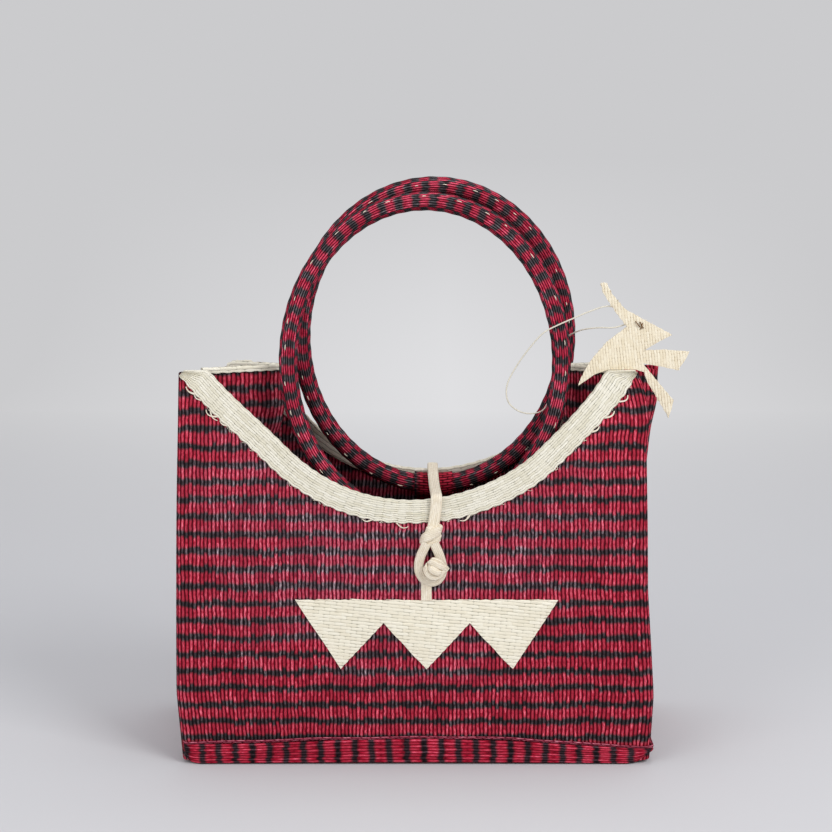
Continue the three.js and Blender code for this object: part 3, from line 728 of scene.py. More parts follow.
@dataclass(frozen=True)
class BagForm:
    """Sizes of the woven body, in millimetres, and the surfaces that they give.

    The places and heights in its methods are judged on the photograph.
    """

    half_width: float = 147.5
    height: float = 242.0
    base_half_depth: float = 62.0
    top_half_depth: float = 30.5
    bulge: float = 2.5
    skew: float = 16.0
    skew_from: float = 30.0
    cloth: float = 1.8
    gap: float = 0.3
    floor: float = 2.3
    scoop_radius: float = 112.0
    scoop_depth: dict = by_side(78.5, 78.0)
    hanging: tuple = ((3.3, -118.0, 24.0), (2.6, 88.0, 30.0))
    droop: float = 2.5
    tuck: float = 3.5
    edge_rise: float = 0.6
    back_fall: float = 2.4
    corner_fall: float = 4.5
    fold_depth: float = 1.11
    fold_belly: float = 0.19
    crease: float = 0.01
    ease: float = 0.3
    left_pinch: float = 4.4
    right_pinch: float = 3.0
    flare: float = 4.3
    shoulder: float = 2.0
    tip_draw: float = 5.0
    sag_mean: float = 0.7
    sag_wave: float = 0.75
    sag_ripple: float = 0.45
    back_phase: float = 1.7

    @property
    def face(self) -> float:
        """Distance from the cloth's middle to just outside it."""
        return self.cloth / 2 + self.gap

    def half_depth(self, z: Array) -> Array:
        """Half the distance between the front and back cloth at a height."""
        lean = self.base_half_depth - self.top_half_depth
        return self.base_half_depth - lean * ramp(z, 0.0, self.height) ** self.bulge

    def leaning(self, share: Array, z: Array) -> Array:
        """How far a point is moved to the right, at a share of the depth and a height."""
        return self.skew * ramp(z, self.skew_from, self.height) * share

    def scoop_edge(self, x: Array, side: Side) -> Array:
        """Height of the scooped edge: an arc that runs on into slopes, with two hanging spots."""
        turn = self.scoop_radius * SLOPE
        away = np.abs(x)
        bend = self.scoop_radius - np.sqrt(self.scoop_radius**2 - np.minimum(away, turn) ** 2)
        edge = self.height - self.scoop_depth[side] + bend + np.maximum(away - turn, 0.0)
        hangs = sum(deep * hump(x, middle, wide) for deep, middle, wide in self.hanging)
        return edge - hangs if side is Side.FRONT else edge

    def brim(self, x: Array, side: Side) -> Array:
        """Height of a panel's straight ends; the back one droops at the left."""
        droop = 0.0 if side is Side.FRONT else self.droop
        return self.height - droop * ramp(-x, 90.0, 130.0)

    def top(self, x: Array, side: Side) -> Array:
        """Height of a panel's edge: the scoop, and the ends beside it, which the back tucks in."""
        tucked = 0.0 if side is Side.FRONT else self.tuck
        ends = self.brim(x, side) - tucked * ramp(np.abs(x), 100.0, 115.0)
        return np.minimum(self.scoop_edge(x, side), ends)

    def scoop_end(self, side: Side) -> float:
        """Where the slope meets the straight top."""
        x = np.linspace(90.0, self.half_width, 200)
        return float(np.interp(self.height, self.scoop_edge(x, side), x))

    def drawn(self, x: Array, z: Array, share: Array) -> Array:
        """How far the soft cloth's ends are drawn sideways, at a share of the depth."""
        left = ramp(-x, 0.0, self.half_width) ** 3
        right = ramp(x, 0.0, self.half_width) ** 3
        low = 1.0 - ramp(z, 0.0, 45.0)
        wide = 1.0 - ramp(z, 40.0, 110.0)
        tip = ramp(z, 226.0, 242.0) ** 1.5 * (1.0 - share)
        out = self.ease + self.flare * wide - self.right_pinch * low
        out = out + self.shoulder * hump(z, 214.0, 13.0) - self.tip_draw * tip
        return left * (self.left_pinch * low - self.ease) + right * out

    def rise(self, x: Array, y: Array) -> Array:
        """How far the seam above the base band wanders up and down."""
        at = (-150.0, -95.0, -45.0, 10.0, 60.0, 110.0, 150.0)
        wave = np.interp(x, at, (-1.5, -0.6, 1.4, 2.4, 1.0, -2.2, -4.4))
        return wave * np.where(y < 0, 1.0, 0.4)

    def sag(self, x: Array, z: Array, side: Side) -> Array:
        """How far the soft cloth bulges out of its plain shape."""
        inset = np.clip(1.0 - (np.abs(x) / self.half_width) ** 4, 0.0, 1.0)
        phase = 0.0 if side is Side.FRONT else self.back_phase
        waves = self.sag_wave * np.sin(x / 33.0 + phase) * np.sin(z / 41.0 + 0.5 + phase)
        waves += self.sag_ripple * np.sin(x / 17.0 + z / 55.0 + phase)
        return (self.sag_mean + waves) * inset * ramp(z, 18.0, 78.0)

    def on_panel(self, side: Side, x: Array, z: Array, out: Array) -> Array:
        """Points at a distance outside a panel's middle.

        Args:
            side: the panel.
            x: across, before the lean.
            z: height.
            out: distance outward from the middle of the cloth.

        Returns:
            The points, with 3 in a new last axis.
        """
        x, z, out = np.broadcast_arrays(x, z, out)
        share = 0.0 if side is Side.FRONT else 1.0
        y = side.value * (self.half_depth(z) + out + self.sag(x, z, side))
        return np.stack([x + self.leaning(share, z) + self.drawn(x, z, share), y, z], axis=-1)

    def gusset_top(self, v: Array) -> Array:
        """Height of the gusset's top edge, a little lower at its crease and its back."""
        back = self.back_fall * ramp(v, 0.0, 1.0) + self.corner_fall * ramp(v, 0.72, 0.92)
        return self.height + self.edge_rise * np.abs(v) - back

    def on_gusset(self, hand: int, v: Array, z: Array, out: Array) -> Array:
        """Points of the folded side.

        Args:
            hand: -1 at the left and 1 at the right.
            v: -1 at the front edge, 0 at the crease and 1 at the back edge.
            z: height.
            out: distance outward from the middle of the cloth.

        Returns:
            The points, with 3 in a new last axis.
        """
        v, z, out = np.broadcast_arrays(v, z, out)
        half = self.half_depth(z)
        inset = np.sqrt(np.clip(self.base_half_depth**2 - half**2, 0.0, None))
        inset = inset * (1.0 + self.fold_belly * hump(z, 204.0, 32.0))
        soft = np.sqrt(v * v + self.crease) / math.sqrt(1.0 + self.crease)
        fold = (1.0 - soft) * self.fold_depth
        slope = -np.sign(v) * inset / self.base_half_depth
        flat = np.sqrt(np.clip(1.0 - slope**2, 0.05, 1.0))
        x = hand * (self.half_width - self.cloth / 2 - inset * fold + out * flat)
        y = (half - self.cloth / 2 - self.gap) * v + out * slope
        share = (v + 1.0) / 2.0
        drawn = self.drawn(hand * self.half_width, z, share) * np.abs(v)
        return np.stack([x + self.leaning(share, z) + drawn, y, z], axis=-1)


FORM = BagForm()


@dataclass
class WovenBody:
    """The lofted shell of front, back and folded sides, with its base band."""

    finishes: Finishes
    rib: float = 2.4
    row: float = 5.33
    first: float = 0.99
    relief: float = 0.17
    bound: float = 9.0
    band_height: float = 14.5
    band_lift: float = 0.5
    band_cloth: float = 1.6
    band_relief: float = 0.14
    band_rib: float = 1.75
    band_ribs: int = 8
    band_corner: float = 3.0
    band_turn: float = 5.5
    band_arch: float = 0.9
    band_belly: float = 0.35
    band_tuck: float = 3.6
    draw_left: float = 3.0
    draw_right: float = -0.4
    sheet_corner: float = 8.0
    sheet_cloth: float = 1.8
    sheet_height: float = 0.75
    sheet_turn: float = 4.2
    sheet_relief: float = 0.15
    piping: float = 1.7

    def shell(self) -> Piece:
        """The striped cloth of all four sides as one piece."""
        wide, deep = (round(4 * half / self.rib) for half in (FORM.half_width, FORM.base_half_depth))
        x = np.linspace(-FORM.half_width, FORM.half_width, wide + 1)
        v = np.linspace(-1.0, 1.0, deep + 1)
        parts, across, heights = [], [], []
        start = 0.0
        for part in ("front", "right", "back", "left"):
            flat = part in ("front", "back")
            side = Side.FRONT if part == "front" else Side.BACK
            z, out = self.stitched(FORM.top(x, side) if flat else FORM.gusset_top(v))
            hand = 1 if part == "right" else -1
            points = FORM.on_panel(side, x, z, out) if flat else FORM.on_gusset(hand, v, z, out)
            if part in ("back", "left"):
                points, z = points[:, ::-1], z[:, ::-1]
            length = 2 * (FORM.half_width if flat else FORM.base_half_depth)
            across.append(start + np.linspace(0.0, length, points.shape[1])[:-1])
            start += length
            parts.append(points[:, :-1])
            heights.append(z[:, :-1])
        points = np.concatenate(parts + [parts[0][:, :1]], axis=1)
        heights = np.concatenate(heights + [heights[0][:, :1]], axis=1)
        self.round_corners(points, (0, wide, wide + deep, 2 * wide + deep))
        along = heights - self.first - self.row
        piece = lay_grid("woven_shell", points, np.concatenate(across + [[start]]), along)
        merge(piece)
        thicken(piece, FORM.cloth)
        nodes = ("front_panel", "back_panel", "left_gusset", "right_gusset")
        return finish_piece(piece, self.finishes.cloth, "bag", "striped_weave", *nodes, smooth=60.0)

    def stitched(self, top: Array) -> tuple:
        """Rows of the grid up to an edge, with every second column raised as a rib.

        Args:
            top: the edge's height at each column, two columns to a rib.

        Returns:
            The heights of the rows and how far they lie outside the cloth's middle.
        """
        level = self.first + self.row * np.arange(int(FORM.height / self.row) + 2)[:, None]
        crest = np.where(np.arange(len(top)) % 2 == 1, self.relief, -self.relief)
        bound = top - self.bound
        squeezed = bound + (level - bound) * self.bound / (level[-1] - bound)
        z = np.maximum(np.where(level <= bound, level, squeezed), FORM.floor)
        return z, np.broadcast_to(FORM.cloth / 2 + crest, z.shape)

    def round_corners(self, points: Array, corners: tuple, reach: int = 4) -> None:
        """Softens the fold where two sides of the shell meet.

        Args:
            points: rows by columns by 3, changed in place; its last column repeats its first.
            corners: the columns of the folds.
            reach: how many columns each way are softened.
        """
        ring = points[:, :-1]
        near = np.array([corner + step for corner in corners for step in range(-reach, reach + 1)])
        middle, before, after = (near + step for step in (0, -2, 2))
        for _ in range(3):
            old = ring[..., :2].copy()
            count = ring.shape[1]
            soft = old[:, before % count] + 2 * old[:, middle % count] + old[:, after % count]
            ring[:, middle % count, :2] = soft / 4
        points[:, -1] = points[:, 0]

    def outline(self, grow: float, corner: float, step: float) -> Array:
        """A closed rounded rectangle round the base.

        Args:
            grow: how far it lies outside the cloth's outer face.
            corner: its corner radius.
            step: about how far apart its points are.

        Returns:
            count by 2, with the first point repeated at the end.
        """
        reach_x = FORM.half_width + FORM.gap + grow - corner
        reach_y = FORM.base_half_depth + FORM.face + grow - corner
        line = [
            (sx * reach_x + corner * math.cos(a + turn), sy * reach_y + corner * math.sin(a + turn))
            for sx, sy, turn in ((1, -1, 0.0), (1, 1, TURN / 4), (-1, 1, TURN / 2), (-1, -1, TURN * 3 / 4))
            for a in np.linspace(-TURN / 4, 0.0, 6)
        ]
        line = np.array(line + line[:1])
        far = running(line)
        at = np.linspace(0.0, far[-1], int(far[-1] / step) + 1)
        x, y = (np.interp(at, far, line[:, axis]) for axis in (0, 1))
        return np.stack([x + FORM.drawn(x, 7.0, 0.0), y], axis=1)

    def draw_in(self, line: Array) -> None:
        """Moves an outline's two ends sideways, the way the base is drawn in."""
        ends = ramp(np.abs(line[:, 0]), 0.0, FORM.half_width) ** 3
        line[:, 0] += ends * np.where(line[:, 0] < 0, self.draw_left, self.draw_right)

    def base_band(self) -> Piece:
        """The turned-up band round the base, with ribs that run along it."""
        line = self.outline(self.band_cloth / 2, self.band_corner, 2.0)
        along = running(line)
        normal = -left_of(line)
        normal[0] = normal[-1] = (normal[0] + normal[-1]) / 2
        end = ramp(np.abs(line[:, 0]), FORM.half_width - 13.0, FORM.half_width + 1.0)
        arch = self.band_arch * (1.0 - (line[:, 0] / FORM.half_width) ** 2)
        low = self.band_lift + self.band_turn * end**2.5 + arch
        self.draw_in(line)
        high = self.band_height + FORM.rise(line[:, 0], line[:, 1])
        share = np.linspace(0.0, 1.0, 2 * self.band_ribs + 1)[:, None]
        relief = self.band_relief * np.where(np.arange(len(share)) % 2, 1, -1)[:, None]
        belly = self.band_belly * np.sin(math.pi * share)
        tuck = self.band_tuck * end * (1.0 - share) ** 2
        out = self.band_cloth / 2 + relief * 0.5 + belly - 0.15 - tuck
        z = low + share * (high - low)
        points = np.concatenate([line + normal * out[..., None], z[..., None]], axis=-1)
        piece = lay_grid("base_band", points, share * self.band_rib * self.band_ribs, along)
        merge(piece)
        thicken(piece, self.band_cloth)
        nodes = [f"base_band_{word}" for word in ("front", "back", "left", "right")]
        return finish_piece(piece, self.finishes.band, "bag", "striped_weave", *nodes)

    def base_piping(self) -> Piece:
        """The thin twisted cord on top of the band."""
        radius = self.piping / 2
        flat = self.outline(radius + 0.1, self.band_corner, 1.6)
        along = running(flat)
        z = self.band_height + FORM.gap + radius + FORM.rise(flat[:, 0], flat[:, 1])
        z = z + 0.3 * np.sin(along / 23.0) + 0.2 * np.sin(along / 9.0)
        z[-1] = z[0]
        self.draw_in(flat)
        line = np.column_stack([flat, z])
        piece = sweep("base_piping_cord", line, oval(self.piping, self.piping, 8), (0, 0, 1), loop=True)
        return finish_piece(piece, self.finishes.piping, "bag", "striped_weave", "base_piping")

    def base_sheet(self) -> Piece:
        """The woven base, with rounded corners and ends that turn up a little."""
        corner = self.sheet_corner
        half_x, half_y = np.abs(self.outline(-1.6, corner, 4.0)).max(axis=0) - (0.5, 0.0)
        across = np.linspace(-1.0, 1.0, 2 * int(half_x / self.rib) + 1)[None, :]
        deep = np.linspace(-1.0, 1.0, 2 * int(half_y / self.row) + 1)[:, None]
        over = ramp(np.abs(deep) * half_y, half_y - corner, half_y)
        x = across * (half_x - corner * (1.0 - np.sqrt(1.0 - 0.98 * over**2)))
        y = deep * half_y + 0.0 * x
        edge = ramp(np.abs(x), half_x - 9.0, half_x)
        rows, columns = np.indices(x.shape)
        self.draw_in(x.reshape(-1, 1))
        relief = np.where((rows + columns) % 2 == 0, self.sheet_relief, -self.sheet_relief)
        z = self.sheet_height + self.sheet_turn * edge**2.5 + relief
        piece = lay_grid("base_sheet", np.stack([x, -y, z], axis=-1), x + half_x, y + half_y)
        thicken(piece, self.sheet_cloth)
        return finish_piece(piece, self.finishes.base, "bag", "base_weave", "base_panel")

    def build(self) -> None:
        """Builds the body and its base."""
        self.shell()
        self.base_band()
        self.base_piping()
        self.base_sheet()


@dataclass
class Trims:
    """The pale plaited bindings on the bag's edges."""

    finishes: Finishes
    width: float = 11.4
    widening: float = 1.6
    inside: float = 8.0
    thick: float = 1.5
    strands: int = 10
    strand: float = 2.06
    relief: float = 0.3
    lobe: float = 7.6
    step: float = 0.96
    side_height: float = 1.4
    side_thick: float = 1.2
    side_reach: float = 0.78

    @classmethod
    def width_at(cls, x: Array) -> Array:
        """The scooped bindings' width, which grows towards their ends."""
        return cls.width + cls.widening * ramp(np.abs(x), 0.0, 90.0)

    def dips(self, count: int) -> Array:
        """The relief of a face's strands, from groove to crest."""
        return np.where(np.arange(count) % 2 == 0, -self.relief, self.relief * 0.6)

    def bound(self, piece: Piece, node: str) -> Piece:
        """Finishes a binding."""
        return finish_piece(piece, self.finishes.trim, "bag", "pale_plait", node, smooth=70.0)

    def scoop_trim(self, side: Side) -> Piece:
        """The band over a panel's scooped edge."""
        near = FORM.cloth / 2 + FORM.gap * 0.5
        far = near + self.thick
        end = FORM.scoop_end(side)
        past = (self.width + 2.2) * SLOPE if side is Side.FRONT else 4.0
        last = min(end + past, FORM.half_width)
        x = np.linspace(-last, last, int(2 * last / self.step))
        edge = FORM.scoop_edge(x, side)
        sine = np.clip(x / FORM.scoop_radius, -SLOPE, SLOPE)
        fall = -np.sqrt(1 - sine**2)
        along = running(np.column_stack([x, edge]))
        lobes = 0.5 + 0.5 * np.sin(along * TURN / self.lobe + 1.3 * np.sin(along / 19.0))
        over = edge - FORM.brim(x, side)
        lip = np.maximum(-FORM.gap - self.thick - 0.35 * lobes, (over - FORM.gap - self.thick) / -fall)
        rim = np.maximum(-FORM.gap, (over - FORM.gap) / -fall)
        low = np.maximum(self.width_at(x) + 0.7 * lobes - 0.35, lip + 0.4)
        inner = rim + 0.5 + (self.inside - 0.5) * ramp(end - np.abs(x), 0.0, 10.0)
        outer = [(low + (lip - low) * s, far + dip) for s, dip in self.strand_rows(2 * self.strands + 1)]
        lining = [(lip + (inner - lip) * s, -far - dip) for s, dip in self.strand_rows(9)]
        fold = [(lip - 0.25, far * 0.45), (lip - 0.25, -far * 0.45)]
        slit = [(inner, -near), (rim, -near), (rim, near), (low, near)]
        line = [*outer, *fold, *lining, *slit, outer[0]]
        marks = [np.broadcast_arrays(*mark, x)[:2] for mark in line]
        down, out = np.transpose(marks, (1, 2, 0))
        points = FORM.on_panel(
            side, x[:, None] + sine[:, None] * down, edge[:, None] + fall[:, None] * down, out
        )
        across = np.arange(len(line)) * self.strand / 2
        piece = lay_grid(f"{side.word}_scoop_trim", points, across, along[:, None], shut=True)
        return self.bound(piece, f"{side.word}_trim")

    def strand_rows(self, count: int) -> zip:
        """Places across a face from 0 to 1, each with the relief of its strand."""
        return zip(np.linspace(0.0, 1.0, count), self.dips(count))

    def side_trim(self, hand: int) -> Piece:
        """The binding on the folded side's top edge."""
        word = "left" if hand < 0 else "right"
        v = np.linspace(-self.side_reach, self.side_reach, 60)
        near = FORM.cloth / 2 + 0.25
        far = near + self.side_thick
        along = (v + self.side_reach) * FORM.base_half_depth
        rows = []
        for lobe in 0.5 + 0.5 * np.sin(along * TURN / 6.0):
            low = -self.side_height - 0.5 * lobe
            top = FORM.gap + self.side_thick + 0.3 * lobe
            a, b, c = (low + (top - low) * part for part in (0.28, 0.56, 0.84))
            half = [(far - 0.2, low), (far + 0.1, a), (far - 0.2, b), (far, c), (far * 0.75, top)]
            line = [*half, (0.0, top + 0.3), *((-out, z) for out, z in reversed(half))]
            line += [(-near, low), (-near, FORM.gap), (near, FORM.gap), (near, low)]
            rows.append(line + line[:1])
        section = np.array(rows)
        top = FORM.gusset_top(v)[:, None]
        z = top + section[..., 1]
        points = FORM.on_gusset(hand, v[:, None], np.minimum(z, top), section[..., 0])
        points[..., 2] = z
        piece = lay_grid(f"{word}_side_trim", points, section[0, :, 1], along[:, None], shut=True)
        return self.bound(piece, f"{word}_gusset_trim")

    def build(self) -> None:
        """Builds the four bindings."""
        for side in Side:
            self.scoop_trim(side)
        for hand in (-1, 1):
            self.side_trim(hand)


@dataclass
class RingHandle:
    """A woven ring handle with its tab."""

    finishes: Finishes
    side: Side
    width: float = 171.0
    height: float = 200.0
    tube: float = 11.5
    inset: float = 36.0
    meet: float = 5.4
    ribs: int = 24
    stations: int = 420
    relief: float = 0.14
    block: float = 10.9
    perimeter: float = 583.0
    cloth_round: float = 36.12
    cloth_start: float = 4.515
    shift: dict = by_side(8.0, 14.0)
    sunk: dict = by_side(14.0, 5.5)
    seed: int = 11
    stitch_angle: float = 68.0
    strip: float = 25.0
    strip_cloth: float = 1.2
    strip_relief: float = 0.1
    strip_wrap: tuple = (-50.0, 282.0)
    strip_foot: tuple = (19.0, 16.0, 13.6)

    def __post_init__(self) -> None:
        """Works out the ring's place from its side."""
        self.x = self.shift[self.side]
        self.low = FORM.height - FORM.scoop_depth[self.side] - self.sunk[self.side]
        self.tilt = math.asin((self.inset - self.meet) / self.height)
        self.body = f"{self.side.word}_handle"

    def placed(self, flat: Array) -> Array:
        """Carries points from the ring's own plane to the bag."""
        c, s = math.cos(self.tilt), math.sin(self.tilt) * self.side.value
        x, y, z = np.moveaxis(flat, -1, 0)
        y, z = y * c - z * s + self.side.value * self.inset, y * s + z * c + self.low
        return np.stack([x + self.x, y, z], axis=-1)

    def around(self, t: Array) -> tuple:
        """The ring's middle line and its outward direction, in its own plane."""
        a, b = self.width / 2, self.height / 2
        zero = np.zeros_like(t)
        line = np.stack([a * np.sin(t), zero, b * (1 - np.cos(t))], axis=-1)
        out = np.stack([b * np.sin(t), zero, -a * np.cos(t)], axis=-1)
        return line, out / np.linalg.norm(out, axis=-1)[..., None]

    def sleeve(self) -> Piece:
        """The woven tube over the hoop, a little fuller in each of its blocks."""
        line, out = self.around(np.linspace(0.0, TURN, self.stations + 1))
        along = running(line)
        along = (along * (round(along[-1] / self.block) * self.block / along[-1]))[:, None]
        a = np.linspace(0.0, TURN, 2 * self.ribs + 1)
        ribs = np.where(np.arange(len(a)) % 2 == 0, self.relief, -self.relief)
        checker = np.floor(a / TURN * 4 + 0.5) % 2
        radius = self.tube / 2 + ribs + 0.13 * np.sin((along / self.block + checker * 0.5) * TURN)
        radius[:, -1] = radius[:, 0]
        radius[-1] = radius[0]
        points = line[:, None, :] + out[:, None, :] * (radius * np.cos(a))[..., None]
        points[..., 1] += radius * np.sin(a)
        across = a / TURN * self.cloth_round + self.cloth_start
        piece = lay_grid(f"{self.side.word}_ring_weave", self.placed(points), across, along, shut=True)
        node = f"{self.side.word}_ring_sleeve"
        return finish_piece(piece, self.finishes.ring, self.body, "ring_weave", node)

    def stitches(self) -> Piece:
        """The running stitch that closes the sleeve along its face."""
        rng = random.Random(self.seed + self.side.value)
        taper = np.array([0.25, 0.9, 1.0, 1.0, 0.9, 0.25])
        pieces = []
        place = 0.0
        while place < self.perimeter - 6:
            length = rng.uniform(2.0, 3.8)
            line, out = self.around(np.linspace(place, place + length, 6) / self.perimeter * TURN)
            angle = math.radians(self.stitch_angle + rng.uniform(-5, 5))
            lift = self.tube / 2 + 0.12 + 0.3 * np.sin(np.linspace(0, math.pi, 6))
            points = line + out * (lift * math.cos(angle))[:, None]
            points[:, 1] -= lift * math.sin(angle)
            pieces.append(sweep("stitch", self.placed(points), oval(0.5, 0.4, 6), (0.6, 0.0, 0.8), taper))
            place += length + rng.uniform(8.0, 30.0)
        piece = join_all(f"{self.side.word}_ring_stitches", pieces)
        return finish_piece(piece, self.finishes.cord, self.body, "pale_plait")

    def tab(self) -> Piece:
        """The woven strip that holds the ring's bottom."""
        cloth = self.strip_cloth
        radius = self.tube / 2 + 0.5 + cloth / 2
        xs = np.linspace(-self.strip / 2, self.strip / 2, 27)
        foot = self.low - np.array(self.strip_foot)
        first = FORM.half_depth(foot) - FORM.face - cloth * 0.5
        feet = [np.stack([y, foot], axis=1) for y in (first, first - cloth - 0.15)]
        a = np.linspace(*np.radians(self.strip_wrap), 34)
        rows = []
        for x in xs:
            rise = (self.height / 2) * (1 - math.sqrt(1 - (x / (self.width / 2)) ** 2))
            cy = self.inset - rise * math.sin(self.tilt)
            cz = self.low + rise * math.cos(self.tilt)
            turn = np.stack([cy + radius * np.cos(a), cz + radius * np.sin(a)], axis=1)
            path = np.concatenate([feet[0], turn, feet[1][::-1]])
            normal = left_of(path)
            ribs = np.where(np.arange(len(path)) % 2 == 0, self.strip_relief, -self.strip_relief)[:, None]
            outer = path + normal * (-cloth / 2 + ribs)
            inner = path + normal * (cloth / 2)
            rows.append(np.concatenate([outer, inner[::-1], outer[:1]]))
        y, z = np.moveaxis(np.array(rows), -1, 0)
        points = np.stack([np.broadcast_to(xs[:, None] + self.x, y.shape), y * self.side.value, z], axis=-1)
        across = running(rows[len(xs) // 2])
        along = xs[:, None] + self.strip / 2
        piece = lay_grid(f"{self.side.word}_tab_weave", points, across, along, shut=True)
        return finish_piece(piece, self.finishes.tab, "bag", "tab_weave", f"{self.side.word}_ring_tab")

    def build(self) -> None:
        """Builds the sleeve, its stitches and the tab, and dresses the hidden hoop."""
        self.sleeve()
        self.stitches()
        self.tab()
        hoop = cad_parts[f"{self.side.word}_ring_hoop"]
        hoop.data.materials.clear()
        hoop.data.materials.append(self.finishes.cane)


@dataclass
class Closure:
    """The strap over the mouth, its knots and loop, and the button on the front."""

    finishes: Finishes
    x: float = 12.5
    width: float = 7.0
    thick: float = 2.6
    trim: float = 1.5
    fullness: float = 0.55
    strap_ribs: tuple = (0.1, 3)
    tail_drop: float = 18.0
    button_drop: float = 19.7
    button_radius: float = 5.7
    button_depth: float = 9.0
    stem_low: float = 104.7

    def __post_init__(self) -> None:
        """Works out the closure's heights and its two bends."""
        gap, half = FORM.gap, self.thick / 2
        rim = {side: FORM.height - FORM.scoop_depth[side] for side in Side}
        lift = self.trim + 2 * gap + half
        over = {side: float(FORM.scoop_edge(self.x + self.width / 2, side)) + lift for side in Side}
        self.bend_y = -(self.trim_face(rim[Side.FRONT]) + gap + half + 0.4)
        self.bend_z = over[Side.FRONT] + 0.5
        self.back_y = self.trim_face(rim[Side.BACK]) + gap + half
        self.back_z = over[Side.BACK]
        self.knot_z = rim[Side.FRONT] - self.tail_drop
        self.button_z = self.knot_z - self.button_drop

    def trim_face(self, z: float) -> float:
        """Distance from the middle plane to the trim's outer face."""
        return float(FORM.half_depth(z)) + FORM.face + self.trim

    def cloth_face(self, z: float) -> float:
        """Distance from the middle plane to just outside the front cloth."""
        return float(FORM.half_depth(z)) + FORM.face + float(FORM.sag(self.x, z, Side.FRONT))

    def tied(self, piece: Piece, body: str | None, *nodes: str) -> Piece:
        """Finishes a piece of the pale cord."""
        return finish_piece(piece, self.finishes.cord, body, "pale_plait", *nodes)

    def flat_section(self, width: float, depth: float, count: int, fullness: float, ribs: tuple) -> Array:
        """A flat cord's section with soft ribs, given as their height and number."""
        section = oval(width, depth, count, fullness)
        section[:, 1] *= 1.0 + ribs[0] * np.cos(section[:, 0] / width * ribs[1] * TURN)
        return section

    def anchor(self) -> Piece:
        """The strap's end, sewn to the back."""
        marks = [(1.6, -13.0), (0.9, -8.0), (0.2, -3.5), (-1.2, -0.6), (-3.2, 0.0), (-4.4, 0.0)]
        origin = (self.x + 1.1, self.back_y + 0.3, self.back_z)
        path = through(shifted(origin, [(0.0, y, z) for y, z in marks]), 30)
        taper = np.ones(30)
        taper[0] = 0.7
        section = self.flat_section(self.width, self.thick, 28, self.fullness, self.strap_ribs)
        return self.tied(sweep("strap_root", path, section, taper=taper), "bag", "strap_anchor")

    def strap(self) -> Piece:
        """The strap from the back rim over the mouth and down to its knot."""
        low = self.knot_z + 3.5
        start = self.back_y - 4.0
        over = [(1.1, start, 0.0), (1.2, start - 20, -1.2), (1.6, 0.0, -2.6)]
        bend = [(2.4, 14.0, -0.6), (2.6, 4.0, 0.1), (2.6, 0.4, -0.8), (2.5, -0.4, -4.5)]
        hang = [(1.9, -1.2, (self.bend_z + low) / 2), (1.0, -2.4, low + 4), (0.2, -3.4, low)]
        path = [
            *shifted((self.x, 0.0, self.back_z), over),
            *shifted((self.x, self.bend_y, self.bend_z), bend),
            *shifted((self.x, self.bend_y, 0.0), hang),
        ]
        section = self.flat_section(self.width, self.thick, 28, self.fullness, self.strap_ribs)
        piece = sweep("strap_over_mouth", through(path, 96), section)
        self.tied(piece, None, "strap_bridge", "strap_tail")
        (self.bend_y + 7.0) * MM
        self.bend_z * MM
        (self.bend_y - 0.8) * MM
        (self.bend_z - 7.0) * MM
        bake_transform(piece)
        return piece

    def strand(self, name: str, points: Array, width: float, depth: float, ends: float = 0.6) -> Piece:
        """A short length of flat cord through points, drawn in at its ends."""
        count = max(24, 8 * len(points))
        share = np.linspace(0.0, 1.0, count)
        taper = ends + (1 - ends) * np.minimum(1.0, 8 * np.minimum(share, 1 - share))
        return sweep(name, through(points, count), oval(width, depth, 14, 0.75), (0.3, 0.1, 1.0), taper)

    def overhand(self) -> Piece:
        """The overhand knot at the strap's end."""
        z = self.knot_z
        origin = (self.x - 1.1, -(self.cloth_face(z) + 4.2), z)
        wrap = [(4.0, 2.2, 4.8), (5.4, -0.8, 3.2), (1.4, -2.9, 1.4)]
        wrap += [(-3.0, -2.4, -1.0), (-4.8, 0.6, -2.6), (-3.0, 2.4, -3.4)]
        low = [(5.0, 1.4, 1.0), (5.0, -1.2, -1.8), (1.4, -2.1, -3.6), (-2.2, -1.7, -4.2), (-3.8, 1.0, -3.6)]
        core = [(1.6, 0.0, 5.8), (0.3, -0.3, 0.0), (0.0, -0.2, -5.0)]
        parts = [
            self.strand("knot_wrap", shifted(origin, wrap), 6.6, 3.2, 0.75),
            self.strand("knot_low", shifted(origin, low), 4.0, 2.6),
            self.strand("knot_core", shifted(origin, core), 8.6, 5.0),
        ]
        return self.tied(join_all("overhand_knot", parts), "loop", "loop_knot")

    def loop(self) -> Piece:
        """The closing loop round the button."""
        origin = (self.x - 1.4, -(self.cloth_face(self.button_z) + 2.7), self.knot_z - 5.4)
        ring = [
            (-2.0, -1.2, 1.4), (-3.6, -0.9, -2.4), (-5.8, -0.4, -7.6), (-6.9, 0.0, -13.0),
            (-6.3, 0.0, -18.0), (-3.6, 0.0, -22.0), (0.2, 0.0, -23.8), (4.0, 0.0, -23.0),
            (6.9, 0.2, -19.6), (7.7, 0.3, -15.0), (6.9, 0.0, -10.6), (5.7, -0.4, -6.6),
            (4.0, -0.9, -2.4), (2.4, -1.2, 1.4),
        ]
        line = through(shifted(origin, ring), 110)
        piece = sweep("closing_loop_cord", line, oval(3.2, 5.9, 18, 0.7), (0.0, 1.0, 0.0))
        return self.tied(piece, "loop", "closing_loop")

